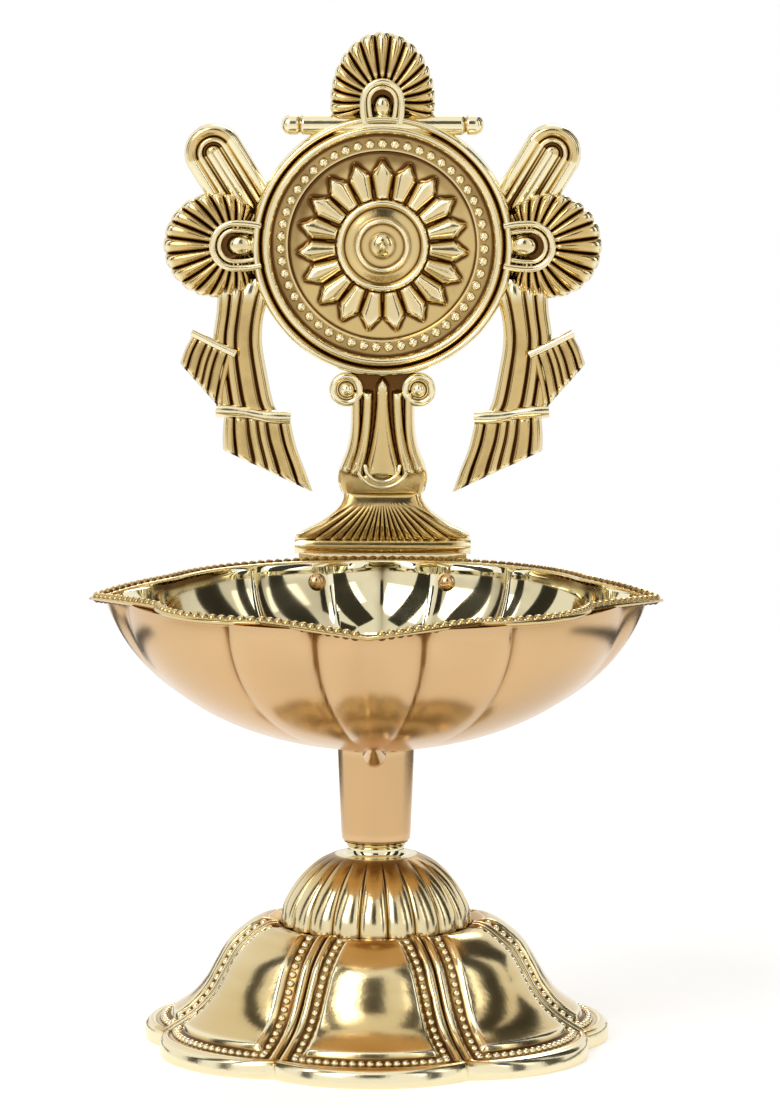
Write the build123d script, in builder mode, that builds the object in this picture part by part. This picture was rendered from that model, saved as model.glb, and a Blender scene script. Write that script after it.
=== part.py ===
"""Standing brass oil lamp with a wheel relief at its back.

Millimetres, +Z up, the front wick spout towards -Y. The origin is on the floor, on the axis of the stem.
The foot, the dome and a nut are one rigid base. The stem, bowl and back plate unscrew from it as one.
"""

import os
from math import asin, cos, degrees, hypot, radians, sin, sqrt

from build123d import *

os.makedirs("parts", exist_ok=True)

# Petal foot
petal_count = 7
panel_facets = 4
lip_radius = 38.0
lip_thickness = 1.5
lip_slope = 0.35
lip_border = 0.2
waist_radius = 29.4
waist_height = 6.4
shoulder_radius = 24.6
shoulder_height = 14.6
crest_radius = 18.4
crest_slope = 0.12
foot_height = 19.3
foot_bands = 5
hollow_bands = 4
ring_sides = 42
valley_depth = 1.7
notch_depth = 3.2
notch_fade = 3
rib_half_width = 1.5
rib_height = 0.8
rib_dip = 0.2
channel_width = 2.1
panel_rise = 0.8
panel_slope = 0.8
foot_wall = 2.2
seat_depth = 0.8
seat_ledge = 2.0
seat_overlap = 2.6
seat_clearance = 0.2
seat_land = 0.6

# Fluted dome
flute_count = 20
flute_facets = 3
flute_depth = 0.9
dome_radius = 15.4
dome_height = 12.0
dome_top_radius = 6.4
dome_bulge = 2.6
dome_bands = 5
dome_wall = 2.4
crown_thickness = 3.0

# Screw column
stud_radius = 3.0
thread_clearance = 0.05
free_clearance = 0.3
nut_across_flats = 10.0
nut_height = 5.0
stud_past_nut = 0.5
neck_ring_radius = 5.2
neck_ring_waist = 4.7
neck_ring_height = 2.1
stem_foot_radius = 5.5
stem_top_radius = 6.2
stem_height = 15.8
tenon_radius = 4.2
tenon_length = 4.2
stud_in_floor = 0.6

# Bowl
rim_radius = 40.2
bowl_depth = 24.8
bowl_wall = 2.0
bowl_base_radius = 8.0
bowl_bands = 7
groove_depth = 1.2
keel_rise = 1.3
keel_half_width = 9.2
keel_point = 0.6
keel_taper = 1.3
narrow_lobe = 1 / 3
lobe_facets = 3
spout_radius = 46.0
spout_flare = 2.4
spout_half_angle = 27.0
spout_pinch = 2.6
spout_hollow = 0.3
rim_overhang = 1.2
rim_height = 1.5
rim_width = 2.4
rim_side = 7.0

# Back plate and its screws
plate_thickness = 3.4
plate_gap = 0.3
relief_sink = 0.4
tang_half_width = 14.0
tang_depth = 8.5
pad_reach = 8.0
screw_spread = 10.9
screw_drop = 3.2
screw_radius = 1.3
screw_head_radius = 1.8
screw_head_height = 1.8
screw_end_gap = 0.3
band_half_width = 14.7
band_height = 2.4
band_relief = 0.8
fan_height = 7.8
fan_top_half_width = 6.6
fan_hollow = 1.6
fan_ribs = 9
neck_height = 21.0
neck_bulge = 7.5
neck_bulge_height = 3.8
neck_waist = 5.4
neck_waist_height = 10.5
neck_relief = 1.2
neck_ribs = 5
volute_spread = 6.0
volute_radius = 2.7
volute_eye = 1.4
volute_drop = 3.6
disc_radius = 21.2
disc_sink = 0.8
ring_width = 2.8
ring_relief = 2.2
bead_band_width = 2.8
bead_band_relief = 1.5
hub_radius = 7.4
hub_ring_width = 1.2
hub_relief = 1.2
boss_relief = 1.8
boss_sides = 16
wheel_petals = 19
wheel_petal_inner = 8.2
wheel_petal_outer = 14.0
wheel_petal_half_width = 1.2
wheel_petal_relief = 1.1
wheel_petal_slope = 0.7
top_shell_half_width = 8.7
top_shell_half_height = 11.6
top_shell_height = 14.2
side_shell_radius = 8.7
side_shell_offset = 6.5
shell_flutes = 11
shell_span = 220.0
shell_relief = 1.3
flute_width = 2.2
flute_inset = 0.3
niche_offset = 3.4
niche_radius = 3.0
boss_radius = 1.9
loop_length = 15.5
loop_width = 9.0
loop_lean = 27.0
loop_rise = 13.2
loop_inset = 1.2
loop_ridge = 1.4
crossbar_half_width = 16.8
crossbar_height = 3.8
crossbar_sink = 1.2
knot_height = 1.9
cloth_pleats = 4
pleat_width = 2.6
pleat_relief = 1.1

# Corners of the right streamer, seen from the front and measured from the middle of the side shell
cloth_top = [(-10.5, -9.0), (-0.4, -6.5)]
cloth_hem = [(-12.1, -28.6), (-0.4, -27.8), (5.9, -19.5), (3.6, -14.8), (1.6, -14.8)]
cloth_waist = (-8.6, -20.1)
tail_top = [(-12.1, -28.0), (-1.4, -28.0)]
tail_hem = [(-16.1, -39.3), (-15.2, -41.4), (-8.7, -37.3), (-1.2, -33.9)]


def polar(radius, azimuth):
    """Point at a distance from the axis, with azimuth in degrees from the front towards +X."""
    return (radius * sin(radians(azimuth)), -radius * cos(radians(azimuth)))


def level(points, height):
    """The points of a plan outline, all lifted to one height."""
    return [(x, y, height) for x, y in points]


def circle_ring(radius, height):
    """Ring of points on a level circle."""
    return level([polar(radius, 360 * index / ring_sides) for index in range(ring_sides)], height)


def bulge(low, high, share):
    """Radius across one lobe: low at both edges (share 0 and 1), high in the middle, along a parabola."""
    return high - (high - low) * (2 * share - 1) ** 2


def between(first, last, index, count):
    """Point number index of count points spread evenly from first to last."""
    share = index / (count - 1)
    return (first[0] + (last[0] - first[0]) * share, first[1] + (last[1] - first[1]) * share)


def facet_loft(rings):
    """Ruled loft through rings with equal numbers of points, in flat triangles, with flat ends."""
    faces = [Face(Wire.make_polygon(rings[0])), Face(Wire.make_polygon(rings[-1]))]
    for lower, upper in zip(rings, rings[1:]):
        for index in range(len(lower)):
            faces.append(Face(Wire.make_polygon((lower[index - 1], lower[index], upper[index]))))
            faces.append(Face(Wire.make_polygon((lower[index - 1], upper[index], upper[index - 1]))))
    return Solid(Shell(faces))


def foot_ring(share, valley, rib, panel):
    """Petals with raised panels and double ribs between them, at a share of the way up the flank."""
    spot = foot_profile @ share
    run = foot_profile % share
    step = 360 / petal_count
    spread = degrees(rib_half_width / valley)
    channel = spread + degrees(channel_width / valley)
    ledge = channel + degrees(panel_slope / valley)
    stations = [(-spread / 2, rib), (0, rib_dip), (spread / 2, rib), (spread, 0), (channel, 0)]
    for facet in range(panel_facets + 1):
        stations.append((ledge + (step - 2 * ledge) * facet / panel_facets, panel))
    stations += [(step - channel, 0), (step - spread, 0)]
    points = []
    for index in range(petal_count):
        for turn, lift in stations:
            radius = bulge(valley, spot.X, abs(turn) / step) + lift * run.Y
            x, y = polar(radius, (index - 0.5) * step + turn)
            points.append((x, y, spot.Y - lift * run.X))
    return points


def dome_outline(crest):
    """Convex flutes that meet in cusps, shallower towards the crown."""
    step = 360 / flute_count
    cusp = crest - flute_depth * crest / dome_radius
    points = []
    for index in range(flute_count):
        for facet in range(flute_facets):
            share = facet / flute_facets
            points.append(polar(bulge(cusp, crest, share), (index - 0.5 + share) * step))
    return points


def bowl_outline(crest, half_width, rise, groove, flare):
    """Four pointed keels, with a narrow lobe and a broad one in each quarter between them."""
    edge = degrees(half_width / crest)
    points = []
    for keel in (0, 90, 180, 270):
        split = narrow_lobe if keel in (0, 180) else 1 - narrow_lobe
        points.append(polar(crest + rise + (0 if keel == 180 else flare), keel))
        for first, last in ((0, split), (split, 1)):
            for facet in range(lobe_facets):
                share = facet / lobe_facets
                azimuth = keel + edge + (90 - 2 * edge) * (first + (last - first) * share)
                points.append(polar(bulge(crest - groove, crest, share), azimuth))
        points.append(polar(crest - groove, keel + 90 - edge))
    return points


def bowl_rings(radius, depth):
    """Rings of the bowl from its floor to its rim, along a quarter of an ellipse."""
    start = asin(bowl_base_radius / radius)
    rings = []
    for band in range(bowl_bands + 1):
        rise = band / bowl_bands
        angle = start + (radians(90) - start) * rise
        crest = radius * sin(angle)
        share = (max(0, crest - bowl_base_radius) / (radius - bowl_base_radius)) ** keel_taper
        half_width = keel_point + (keel_half_width - keel_point) * share
        flare = spout_flare * rise**bowl_bands
        outline = bowl_outline(crest, half_width, keel_rise * share, groove_depth * share, flare)
        rings.append(level(outline, rim_z - depth * cos(angle)))
    return rings


def rim_section(height, radius, tip):
    """Plan of the rim in short sides: three spouts with hollow flanks, two front lobes and a round back."""
    pinch = radius - spout_pinch
    flank = pinch + spout_hollow * (tip - pinch)
    reach = spout_half_angle
    arcs = []
    for spout, lobe in ((-90, -45), (0, 45), (90, 180)):
        half = lobe - spout - reach
        arcs.append((polar(pinch, spout - reach), polar(flank, spout - reach / 2), polar(tip, spout)))
        arcs.append((polar(tip, spout), polar(flank, spout + reach / 2), polar(pinch, spout + reach)))
        arcs.append((polar(pinch, lobe - half), polar(radius, lobe), polar(pinch, lobe + half)))
    points = []
    for start, middle, end in arcs:
        arc = ThreePointArc(start, middle, end)
        sides = round(arc.length / rim_side)
        points += [arc @ (index / sides) for index in range(sides)]
    with BuildSketch(Plane.XY.offset(height)) as section:
        with BuildLine():
            Polyline(*points, close=True)
        make_face()
    return section.sketch


def relief_plane(height):
    """Plane parallel to the back plate, at a height above its front face, with local y along Z."""
    return Plane(origin=(0, plate_front - height, 0), x_dir=(1, 0, 0), z_dir=(0, -1, 0))


def ridge(start, end, widths, height):
    """Roof-shaped rib on the plate's front face, from one (x, z) point to another."""
    run = Vector(end[0] - start[0], 0, end[1] - start[1]).normalized()
    across = run.cross(Vector(0, 1, 0))
    ends = []
    for point, width in zip((start, end), widths):
        crest = Vector(point[0], plate_front - height, point[1])
        sunk = Vector(point[0], plate_front + relief_sink, point[1])
        ends.append((sunk - across * (width / 2), sunk + across * (width / 2), crest))
    return facet_loft(ends)


def shell_ridges(centre, niche, reach, outward):
    """Flutes of a shell, from the arch round its niche out to its edge, fanned about an outward angle."""
    ribs = []
    for index in range(shell_flutes):
        angle = radians(outward + shell_span * (index / (shell_flutes - 1) - 0.5))
        start = (niche[0] + niche_radius * cos(angle), niche[1] + niche_radius * sin(angle))
        end = (
            centre[0] + (reach[0] - flute_inset) * cos(angle),
            centre[1] + (reach[1] - flute_inset) * sin(angle),
        )
        ribs.append(ridge(start, end, (flute_width / 2, flute_width), shell_relief))
    return ribs


def row_of_ridges(top, foot, count, width, height):
    """Ribs side by side between two edges, kept clear of the edges' ends."""
    ribs = []
    for index in range(1, count + 1):
        start = between(top[0], top[1], index, count + 2)
        end = between(foot[0], foot[1], index, count + 2)
        ribs.append(ridge(start, end, (width / 2, width), height))
    return ribs


def on_streamer(corners, side):
    """Corners of a streamer on the right (side 1) or mirrored to the left (side -1)."""
    return [(side * (shell_x + x), disc_z + z) for x, z in corners]


# Heights, from the floor up
dome_base = foot_height - seat_depth
dome_top = dome_base + dome_height
nut_top = dome_top - crown_thickness
stem_base = dome_top + neck_ring_height
stem_top = stem_base + stem_height
rim_z = stem_top + bowl_depth * cos(asin(bowl_base_radius / rim_radius))
rim_base = rim_z - rim_height / 2
band_base = rim_base + rim_height + plate_gap
fan_base = band_base + band_height
neck_base = fan_base + fan_height
neck_top = neck_base + neck_height
disc_z = neck_top + disc_radius - disc_sink
disc_top = disc_z + disc_radius

# Places of the back plate, its ornaments and its screws
plate_front = rim_radius + rim_overhang + plate_gap
plate_back = plate_front + plate_thickness
tang_base = rim_base - tang_depth
screw_places = [(-screw_spread, rim_z - screw_drop), (screw_spread, rim_z - screw_drop)]
head_seat = sqrt((rim_radius - bowl_wall) ** 2 - (screw_spread - screw_head_radius) ** 2)
shell_x = disc_radius + side_shell_offset
top_shell_z = disc_top + top_shell_height - top_shell_half_height

# Petal foot
foot_profile = Spline(
    (lip_radius, lip_thickness),
    (waist_radius, waist_height),
    (shoulder_radius, shoulder_height),
    (crest_radius, foot_height),
    tangents=[(-1, lip_slope), (-1, crest_slope)],
)
panel_start = lip_border + panel_slope / foot_profile.length
foot_steps = [(0, 0), (lip_border, 0)]
for band in range(foot_bands + 1):
    foot_steps.append((panel_start + (1 - panel_start) * band / foot_bands, panel_rise))
foot_rings = []
for share, panel in foot_steps:
    fade = (1 - share) ** notch_fade
    valley = (foot_profile @ share).X - valley_depth - (notch_depth - valley_depth) * fade
    foot_rings.append(foot_ring(share, valley, rib_height * (1 - fade), panel))
lip_ring = [(x, y, 0) for x, y, z in foot_rings[0]]
land_radius = dome_radius + seat_clearance + seat_land
land_ring = []
for x, y, z in foot_rings[-1]:
    land_ring.append((x * land_radius / hypot(x, y), y * land_radius / hypot(x, y), foot_height))
seat_hole = dome_radius - seat_overlap
seat_ceiling = dome_base - seat_ledge
hollow_rings = [circle_ring(lip_radius - notch_depth - foot_wall, -foot_wall)]
for band in range(1, hollow_bands):
    spot = foot_profile @ (band / hollow_bands)
    hollow_rings.append(circle_ring(spot.X - valley_depth - foot_wall, spot.Y - foot_wall / 2))
hollow_rings.append(circle_ring(seat_hole, seat_ceiling))
with BuildPart() as petal_foot:
    add(facet_loft([lip_ring] + foot_rings + [land_ring]))
    add(facet_loft(hollow_rings), mode=Mode.SUBTRACT)
    with BuildSketch(Plane.XY.offset(seat_ceiling)):
        Circle(seat_hole)
    extrude(amount=seat_ledge, mode=Mode.SUBTRACT)
    with BuildSketch(Plane.XY.offset(dome_base)):
        Circle(dome_radius + seat_clearance)
    extrude(amount=foot_height, mode=Mode.SUBTRACT)
petal_foot.part.label = "petal_foot"
export_step(petal_foot.part, "parts/petal_foot.step")

# Fluted dome
dome_middle = (
    (dome_radius + dome_top_radius) / 2 + dome_bulge / sqrt(2),
    dome_base + dome_height / 2 + dome_bulge / sqrt(2),
)
dome_profile = ThreePointArc((dome_radius, dome_base), dome_middle, (dome_top_radius, dome_top))
dome_spots = [dome_profile @ (band / dome_bands) for band in range(dome_bands + 1)]
inner_spot = dome_profile @ 0.5
nut_room = nut_across_flats / sqrt(3) + free_clearance
bell_rings = [
    circle_ring(dome_radius - dome_wall, dome_base - dome_wall),
    circle_ring(dome_radius - dome_wall, dome_base),
    circle_ring(inner_spot.X - dome_wall, inner_spot.Y - dome_wall),
    circle_ring(nut_room, nut_top),
]
with BuildPart() as fluted_dome:
    add(facet_loft([level(dome_outline(spot.X), spot.Y) for spot in dome_spots]))
    add(facet_loft(bell_rings), mode=Mode.SUBTRACT)
    with BuildSketch(Plane.XY.offset(dome_top)):
        Circle(stud_radius + free_clearance)
    extrude(amount=-crown_thickness, mode=Mode.SUBTRACT)
fluted_dome.part.label = "fluted_dome"
export_step(fluted_dome.part, "parts/fluted_dome.step")

# Nut under the crown of the dome
with BuildPart() as foot_nut:
    with BuildSketch(Plane.XY.offset(nut_top - nut_height)):
        RegularPolygon(nut_across_flats / 2, 6, major_radius=False)
        Circle(stud_radius + thread_clearance, mode=Mode.SUBTRACT)
    extrude(amount=nut_height)
foot_nut.part.label = "foot_nut"
export_step(foot_nut.part, "parts/foot_nut.step")

# Neck ring with a drawn-in waist
collar_rings = [
    circle_ring(neck_ring_radius, dome_top),
    circle_ring(neck_ring_waist, dome_top + neck_ring_height / 2),
    circle_ring(neck_ring_radius, stem_base),
]
with BuildPart() as neck_ring:
    add(facet_loft(collar_rings))
    with BuildSketch(Plane.XY.offset(dome_top)):
        Circle(stud_radius + thread_clearance)
    extrude(amount=neck_ring_height, mode=Mode.SUBTRACT)
neck_ring.part.label = "neck_ring"
export_step(neck_ring.part, "parts/neck_ring.step")

# Stem, with a socket for the tenon of the bowl
with BuildPart() as stem:
    add(facet_loft([circle_ring(stem_foot_radius, stem_base), circle_ring(stem_top_radius, stem_top)]))
    with BuildSketch(Plane.XY.offset(stem_base)):
        Circle(stud_radius + thread_clearance)
    extrude(amount=stem_height, mode=Mode.SUBTRACT)
    with BuildSketch(Plane.XY.offset(stem_top)):
        Circle(tenon_radius + thread_clearance)
    extrude(amount=-tenon_length - free_clearance, mode=Mode.SUBTRACT)
stem.part.label = "stem"
export_step(stem.part, "parts/stem.step")

# Stud
stud_base = nut_top - nut_height - stud_past_nut
stud_top = stem_top + stud_in_floor
with BuildPart() as stud:
    with BuildSketch(Plane.XY.offset(stud_base)):
        Circle(stud_radius)
    extrude(amount=stud_top - stud_base)
stud.part.label = "stud"
export_step(stud.part, "parts/stud.step")

# Bowl with its rim, the pad that carries the back plate and the tenon that enters the stem
cavity_rings = bowl_rings(rim_radius - bowl_wall, bowl_depth - bowl_wall)
cavity_rings.append([(x, y, z + rim_height) for x, y, z in cavity_rings[-1]])
with BuildPart() as bowl:
    add(facet_loft(bowl_rings(rim_radius, bowl_depth)))
    extrude(rim_section(rim_base, rim_radius + rim_overhang, spout_radius), amount=rim_height)
    with BuildSketch(relief_plane(0)):
        with Locations((0, rim_base - tang_depth / 2)):
            Rectangle(2 * tang_half_width, tang_depth)
    extrude(amount=pad_reach)
    with BuildSketch(Plane.XY.offset(stem_top)):
        Circle(tenon_radius)
    extrude(amount=-tenon_length)
    add(facet_loft(cavity_rings), mode=Mode.SUBTRACT)
    channel = rim_section(rim_z, rim_radius + rim_overhang - rim_width, spout_radius - rim_width)
    extrude(channel, amount=rim_height, mode=Mode.SUBTRACT)
    with BuildSketch(Plane.XY.offset(stud_top)):
        Circle(stud_radius + thread_clearance)
    extrude(amount=stem_top - tenon_length - stud_top, mode=Mode.SUBTRACT)
    with BuildSketch(relief_plane(0)):
        with Locations(*screw_places):
            Circle(screw_radius + thread_clearance)
    extrude(amount=pad_reach, mode=Mode.SUBTRACT)
    with BuildSketch(relief_plane(plate_front - head_seat)):
        with Locations(*screw_places):
            Circle(screw_head_radius + free_clearance)
    extrude(amount=pad_reach, mode=Mode.SUBTRACT)
bowl.part.label = "bowl"
export_step(bowl.part, "parts/bowl.step")

# Two round-headed screws from inside the bowl into the back plate
with BuildPart() as plate_screws:
    with BuildSketch(relief_plane(plate_front - head_seat)):
        with Locations(*screw_places):
            Circle(screw_head_radius)
    extrude(amount=screw_head_height)
    with BuildSketch(relief_plane(plate_front - head_seat)):
        with Locations(*screw_places):
            Circle(screw_radius)
    extrude(amount=head_seat - plate_back + screw_end_gap)
plate_screws.part.label = "plate_screws"
export_step(plate_screws.part, "parts/plate_screws.step")

# One petal of the wheel, lying along +X on the XY plane
petal_rings = []
for height, shrink in ((-relief_sink, 0), (wheel_petal_relief, wheel_petal_slope)):
    petal_shoulder = wheel_petal_outer - 2 * wheel_petal_half_width
    half_width = wheel_petal_half_width - shrink
    petal_rings.append(
        level(
            [
                (wheel_petal_inner + shrink, -half_width / 2),
                (petal_shoulder, -half_width),
                (wheel_petal_outer - shrink, 0),
                (petal_shoulder, half_width),
                (wheel_petal_inner + shrink, half_width / 2),
            ],
            height,
        )
    )
wheel_petal = facet_loft(petal_rings)

# Ribs of the back plate: shells, pleated streamers, neck and fan
niches = {side: (side * (shell_x - niche_offset), disc_z) for side in (-1, 1)}
niches[0] = (0, disc_top + niche_radius)
ribs = shell_ridges((0, top_shell_z), niches[0], (top_shell_half_width, top_shell_half_height), 90)
ribs += shell_ridges((shell_x, disc_z), niches[1], (side_shell_radius, side_shell_radius), 0)
ribs += shell_ridges((-shell_x, disc_z), niches[-1], (side_shell_radius, side_shell_radius), 180)
for side in (-1, 1):
    for top, hem in ((cloth_top, (cloth_hem[0], cloth_hem[2])), (tail_top, (tail_hem[1], tail_hem[3]))):
        edges = on_streamer(top, side), on_streamer(hem, side)
        ribs += row_of_ridges(*edges, cloth_pleats, pleat_width, pleat_relief)
volute_z = neck_top - volute_drop
bulge_z = neck_base + neck_bulge_height
neck_edges = (
    [(-volute_spread, volute_z), (volute_spread, volute_z)],
    [(-neck_bulge, bulge_z), (neck_bulge, bulge_z)],
)
ribs += row_of_ridges(*neck_edges, neck_ribs, pleat_width, neck_relief)
fan_edges = (
    [(-fan_top_half_width, neck_base), (fan_top_half_width, neck_base)],
    [(-band_half_width, fan_base), (band_half_width, fan_base)],
)
ribs += row_of_ridges(*fan_edges, fan_ribs, pleat_width, neck_relief)

# Back plate: one cast slab with raised ornament, plain behind
mouldings = [
    (disc_radius - ring_width / 2, ring_width, ring_relief),
    (disc_radius - ring_width - bead_band_width / 2, bead_band_width, bead_band_relief),
    (hub_radius, hub_ring_width, hub_relief),
]
with BuildPart() as chakra_plate:
    with BuildSketch(relief_plane(-plate_thickness)):
        with Locations((0, (tang_base + fan_base) / 2)):
            Rectangle(2 * tang_half_width, fan_base - tang_base)
        with Locations((0, band_base + band_height / 2)):
            Rectangle(2 * band_half_width, band_height)
        with BuildLine():
            fan_middle = (
                (band_half_width + fan_top_half_width) / 2 - fan_hollow,
                (fan_base + neck_base) / 2 - fan_hollow,
            )
            waist_point = (neck_waist, neck_base + neck_waist_height)
            Line((0, fan_base), (band_half_width, fan_base))
            ThreePointArc((band_half_width, fan_base), fan_middle, (fan_top_half_width, neck_base))
            ThreePointArc((fan_top_half_width, neck_base), (neck_bulge, bulge_z), waist_point)
            Polyline(waist_point, (volute_spread, neck_top), (0, neck_top + disc_sink))
            mirror(about=Plane.YZ)
        make_face()
        with Locations((0, disc_z)):
            RegularPolygon(disc_radius, ring_sides)
        with Locations((0, top_shell_z)):
            Ellipse(top_shell_half_width, top_shell_half_height)
        with Locations((0, disc_top - crossbar_sink)):
            Rectangle(2 * crossbar_half_width, crossbar_height)
        for side in (-1, 1):
            with Locations((side * shell_x, disc_z)):
                RegularPolygon(side_shell_radius, ring_sides)
            with Locations((side * (shell_x - loop_inset), disc_z + loop_rise)):
                SlotOverall(loop_length, loop_width, rotation=90 - side * loop_lean)
            with BuildLine():
                Polyline(*on_streamer([cloth_waist] + cloth_top + cloth_hem[::-1], side), close=True)
            make_face()
            with BuildLine():
                Polyline(*on_streamer(tail_top + tail_hem[::-1], side), close=True)
            make_face()
            with Locations((side * volute_spread, volute_z)):
                RegularPolygon(volute_radius, boss_sides)
    extrude(amount=plate_thickness)
    with BuildSketch(relief_plane(-relief_sink)):
        with Locations((0, band_base + band_height / 2)):
            Rectangle(2 * band_half_width, band_height)
        for side in (-1, 1):
            with Locations((side * volute_spread, volute_z)):
                RegularPolygon(volute_eye, boss_sides)
            with Locations((side * (shell_x - loop_inset), disc_z + loop_rise)):
                turn = 90 - side * loop_lean
                SlotOverall(loop_length, loop_width, rotation=turn)
                inner_length = loop_length - 2 * loop_ridge
                inner_width = loop_width - 2 * loop_ridge
                SlotOverall(inner_length, inner_width, rotation=turn, mode=Mode.SUBTRACT)
                Rectangle(inner_length - loop_width / 2, loop_ridge, rotation=turn)
            knot_ends = on_streamer([cloth_hem[0], cloth_hem[1]], side)
            with BuildLine():
                Polyline(
                    knot_ends[0],
                    knot_ends[1],
                    (knot_ends[1][0], knot_ends[1][1] + knot_height),
                    (knot_ends[0][0], knot_ends[0][1] + knot_height),
                    close=True,
                )
            make_face()
    extrude(amount=band_relief + relief_sink)
    for radius, width, height in mouldings:
        with BuildSketch(relief_plane(-relief_sink)):
            with Locations((0, disc_z)):
                RegularPolygon(radius + width / 2, ring_sides)
                RegularPolygon(radius - width / 2, ring_sides, mode=Mode.SUBTRACT)
        extrude(amount=height + relief_sink)
    with BuildSketch(relief_plane(-relief_sink)):
        with Locations((0, disc_z), *niches.values()):
            RegularPolygon(boss_radius, boss_sides)
    extrude(amount=boss_relief + relief_sink)
    with Locations(relief_plane(0).location * Location((0, disc_z, 0))):
        with PolarLocations(0, wheel_petals, start_angle=90):
            add(wheel_petal)
    add(ribs)
    with BuildSketch(relief_plane(0)):
        with Locations(*screw_places):
            Circle(screw_radius + thread_clearance)
    extrude(amount=-plate_thickness, mode=Mode.SUBTRACT)
chakra_plate.part.label = "chakra_plate"
export_step(chakra_plate.part, "parts/chakra_plate.step")
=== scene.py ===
"""Looks of the standing brass oil lamp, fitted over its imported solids.

Sizes are in millimetres in the classes and become metres when a mesh is made. +Z is up and the front spout
points to -Y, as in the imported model. Azimuths run from the front towards +X.
"""

import logging
import math
from dataclasses import dataclass, field
from enum import Enum
from functools import cached_property

import bmesh
import bpy
import numpy as np
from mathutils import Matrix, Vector


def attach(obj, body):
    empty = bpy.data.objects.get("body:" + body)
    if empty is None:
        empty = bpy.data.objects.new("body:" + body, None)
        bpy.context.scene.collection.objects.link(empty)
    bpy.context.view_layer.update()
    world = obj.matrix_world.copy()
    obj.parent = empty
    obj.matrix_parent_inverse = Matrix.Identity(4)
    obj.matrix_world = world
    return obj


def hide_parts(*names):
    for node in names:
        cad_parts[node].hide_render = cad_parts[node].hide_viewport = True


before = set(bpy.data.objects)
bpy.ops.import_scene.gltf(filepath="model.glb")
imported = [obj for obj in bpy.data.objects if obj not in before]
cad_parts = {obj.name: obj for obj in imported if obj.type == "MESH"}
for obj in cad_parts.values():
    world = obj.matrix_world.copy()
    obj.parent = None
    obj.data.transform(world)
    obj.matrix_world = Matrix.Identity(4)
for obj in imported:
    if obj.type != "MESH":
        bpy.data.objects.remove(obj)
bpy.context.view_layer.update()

Array = np.ndarray
Line = tuple[tuple[float, float], ...]
Socket = bpy.types.NodeSocket
MM = 0.001
TURN = 2 * math.pi
QUARTER = math.pi / 2
WHITE = (1.0, 1.0, 1.0, 1.0)
IMAGE_HEIGHT = 1108
# How far the pole of a rod lies past its end, in steps of its path
POLE_STEP = 0.3
# Rows of a cast bead from under its foot to its top, and the tarnish of each
BEAD_TILTS = (180, 125, 90, 55, 24, 0)
BEAD_STAIN = np.array([[0.9], [0.9], [0.55], [0.1], [-0.3], [-0.5]])
BEAD_SIDES = 10
# Tarnish of bores and hollows, and of a plate's edges and back
INNER_STAIN = 0.3
BACK_STAIN = 0.15
# Points closer than this, in metres, are one
MERGE = 2e-6
SHARP_ANGLE = 50
BACK_FACING = 0.7
HOLLOW_ROUNDS = 10
HOLLOW_DEPTH = 0.16
log = logging.getLogger("oil_lamp")


# Small formulas

def linear(code: str) -> tuple[float, float, float, float]:
    """Turns an sRGB hex value into linear light.

    Args:
        code: six hex digits.

    Returns:
        Red, green, blue and an alpha of 1.
    """
    parts = [int(code[index:index + 2], 16) / 255 for index in (0, 2, 4)]
    light = [part / 12.92 if part <= 0.04045 else ((part + 0.055) / 1.055) ** 2.4 for part in parts]
    return (light[0], light[1], light[2], 1.0)


def ease(low: float, high: float, value: Array) -> Array:
    """Smooth step: 0 up to low, 1 from high on, along 3t^2 - 2t^3 between them.

    Args:
        low: value where the step starts.
        high: value where it ends.
        value: where to read it.

    Returns:
        The step at each value.
    """
    share = np.clip((value - low) / (high - low), 0, 1)
    return share * share * (3 - 2 * share)


def roll(offset: Array, half_width: float) -> Array:
    """Half-round section: the height of a unit half circle across its width, and 0 outside it."""
    return np.sqrt(np.clip(1 - (offset / half_width) ** 2, 0, 1))


def swell(offset: Array, half_width: float) -> Array:
    """Soft ridge section: a raised cosine, 1 on its line and 0 at its half width."""
    return 0.5 + 0.5 * np.cos(np.pi * np.clip(np.abs(offset) / half_width, 0, 1))


def ripple(wave: Array, sharp: float = 0.98) -> Array:
    """Row of round flutes: half ellipses with crests of 1 on whole numbers and valleys between them."""
    return np.sqrt(1 - sharp * (2 * (wave - np.round(wave))) ** 2)


def full_turn(count: int) -> Array:
    """Even angles round a full turn, up to the one before the start."""
    return np.linspace(0, TURN, count, endpoint=False)


def unit(vectors: Array) -> Array:
    """Rows scaled to length 1."""
    return vectors / np.linalg.norm(vectors, axis=1, keepdims=True)


def around(radius: Array, turn: Array, height: Array) -> Array:
    """Points at a radius, an azimuth in radians and a height."""
    return np.stack(np.broadcast_arrays(radius * np.sin(turn), -radius * np.cos(turn), height), -1)


def distance_along(path: Array) -> Array:
    """Length of a path from its start to each of its points."""
    return np.concatenate(([0.0], np.cumsum(np.linalg.norm(np.diff(path, axis=0), axis=1))))


def fade(points: Line, count: int) -> Array:
    """Smooth line through a few corner points, as a Catmull-Rom curve sampled evenly.

    Args:
        points: the corners that the line passes through.
        count: how many samples it gets.

    Returns:
        Array of count by 2.
    """
    corner = np.asarray(points, float)
    corner = np.vstack((2 * corner[0] - corner[1], corner, 2 * corner[-1] - corner[-2]))
    place = np.linspace(0, len(points) - 1 - 1e-9, count)
    index = place.astype(int)
    t = (place - index)[:, None]
    a, b, c, d = (corner[index + shift] for shift in range(4))
    return 0.5 * (2 * b + (c - a) * t + (2 * a - 5 * b + 4 * c - d) * t**2 + (3 * b - a - 3 * c + d) * t**3)


def lathe(profile: Array, segments: int) -> Array:
    """Surface of revolution about +Z: each (radius, height) of the profile is carried round a full turn."""
    return around(profile[:, :1], full_turn(segments), profile[:, 1:])


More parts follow.
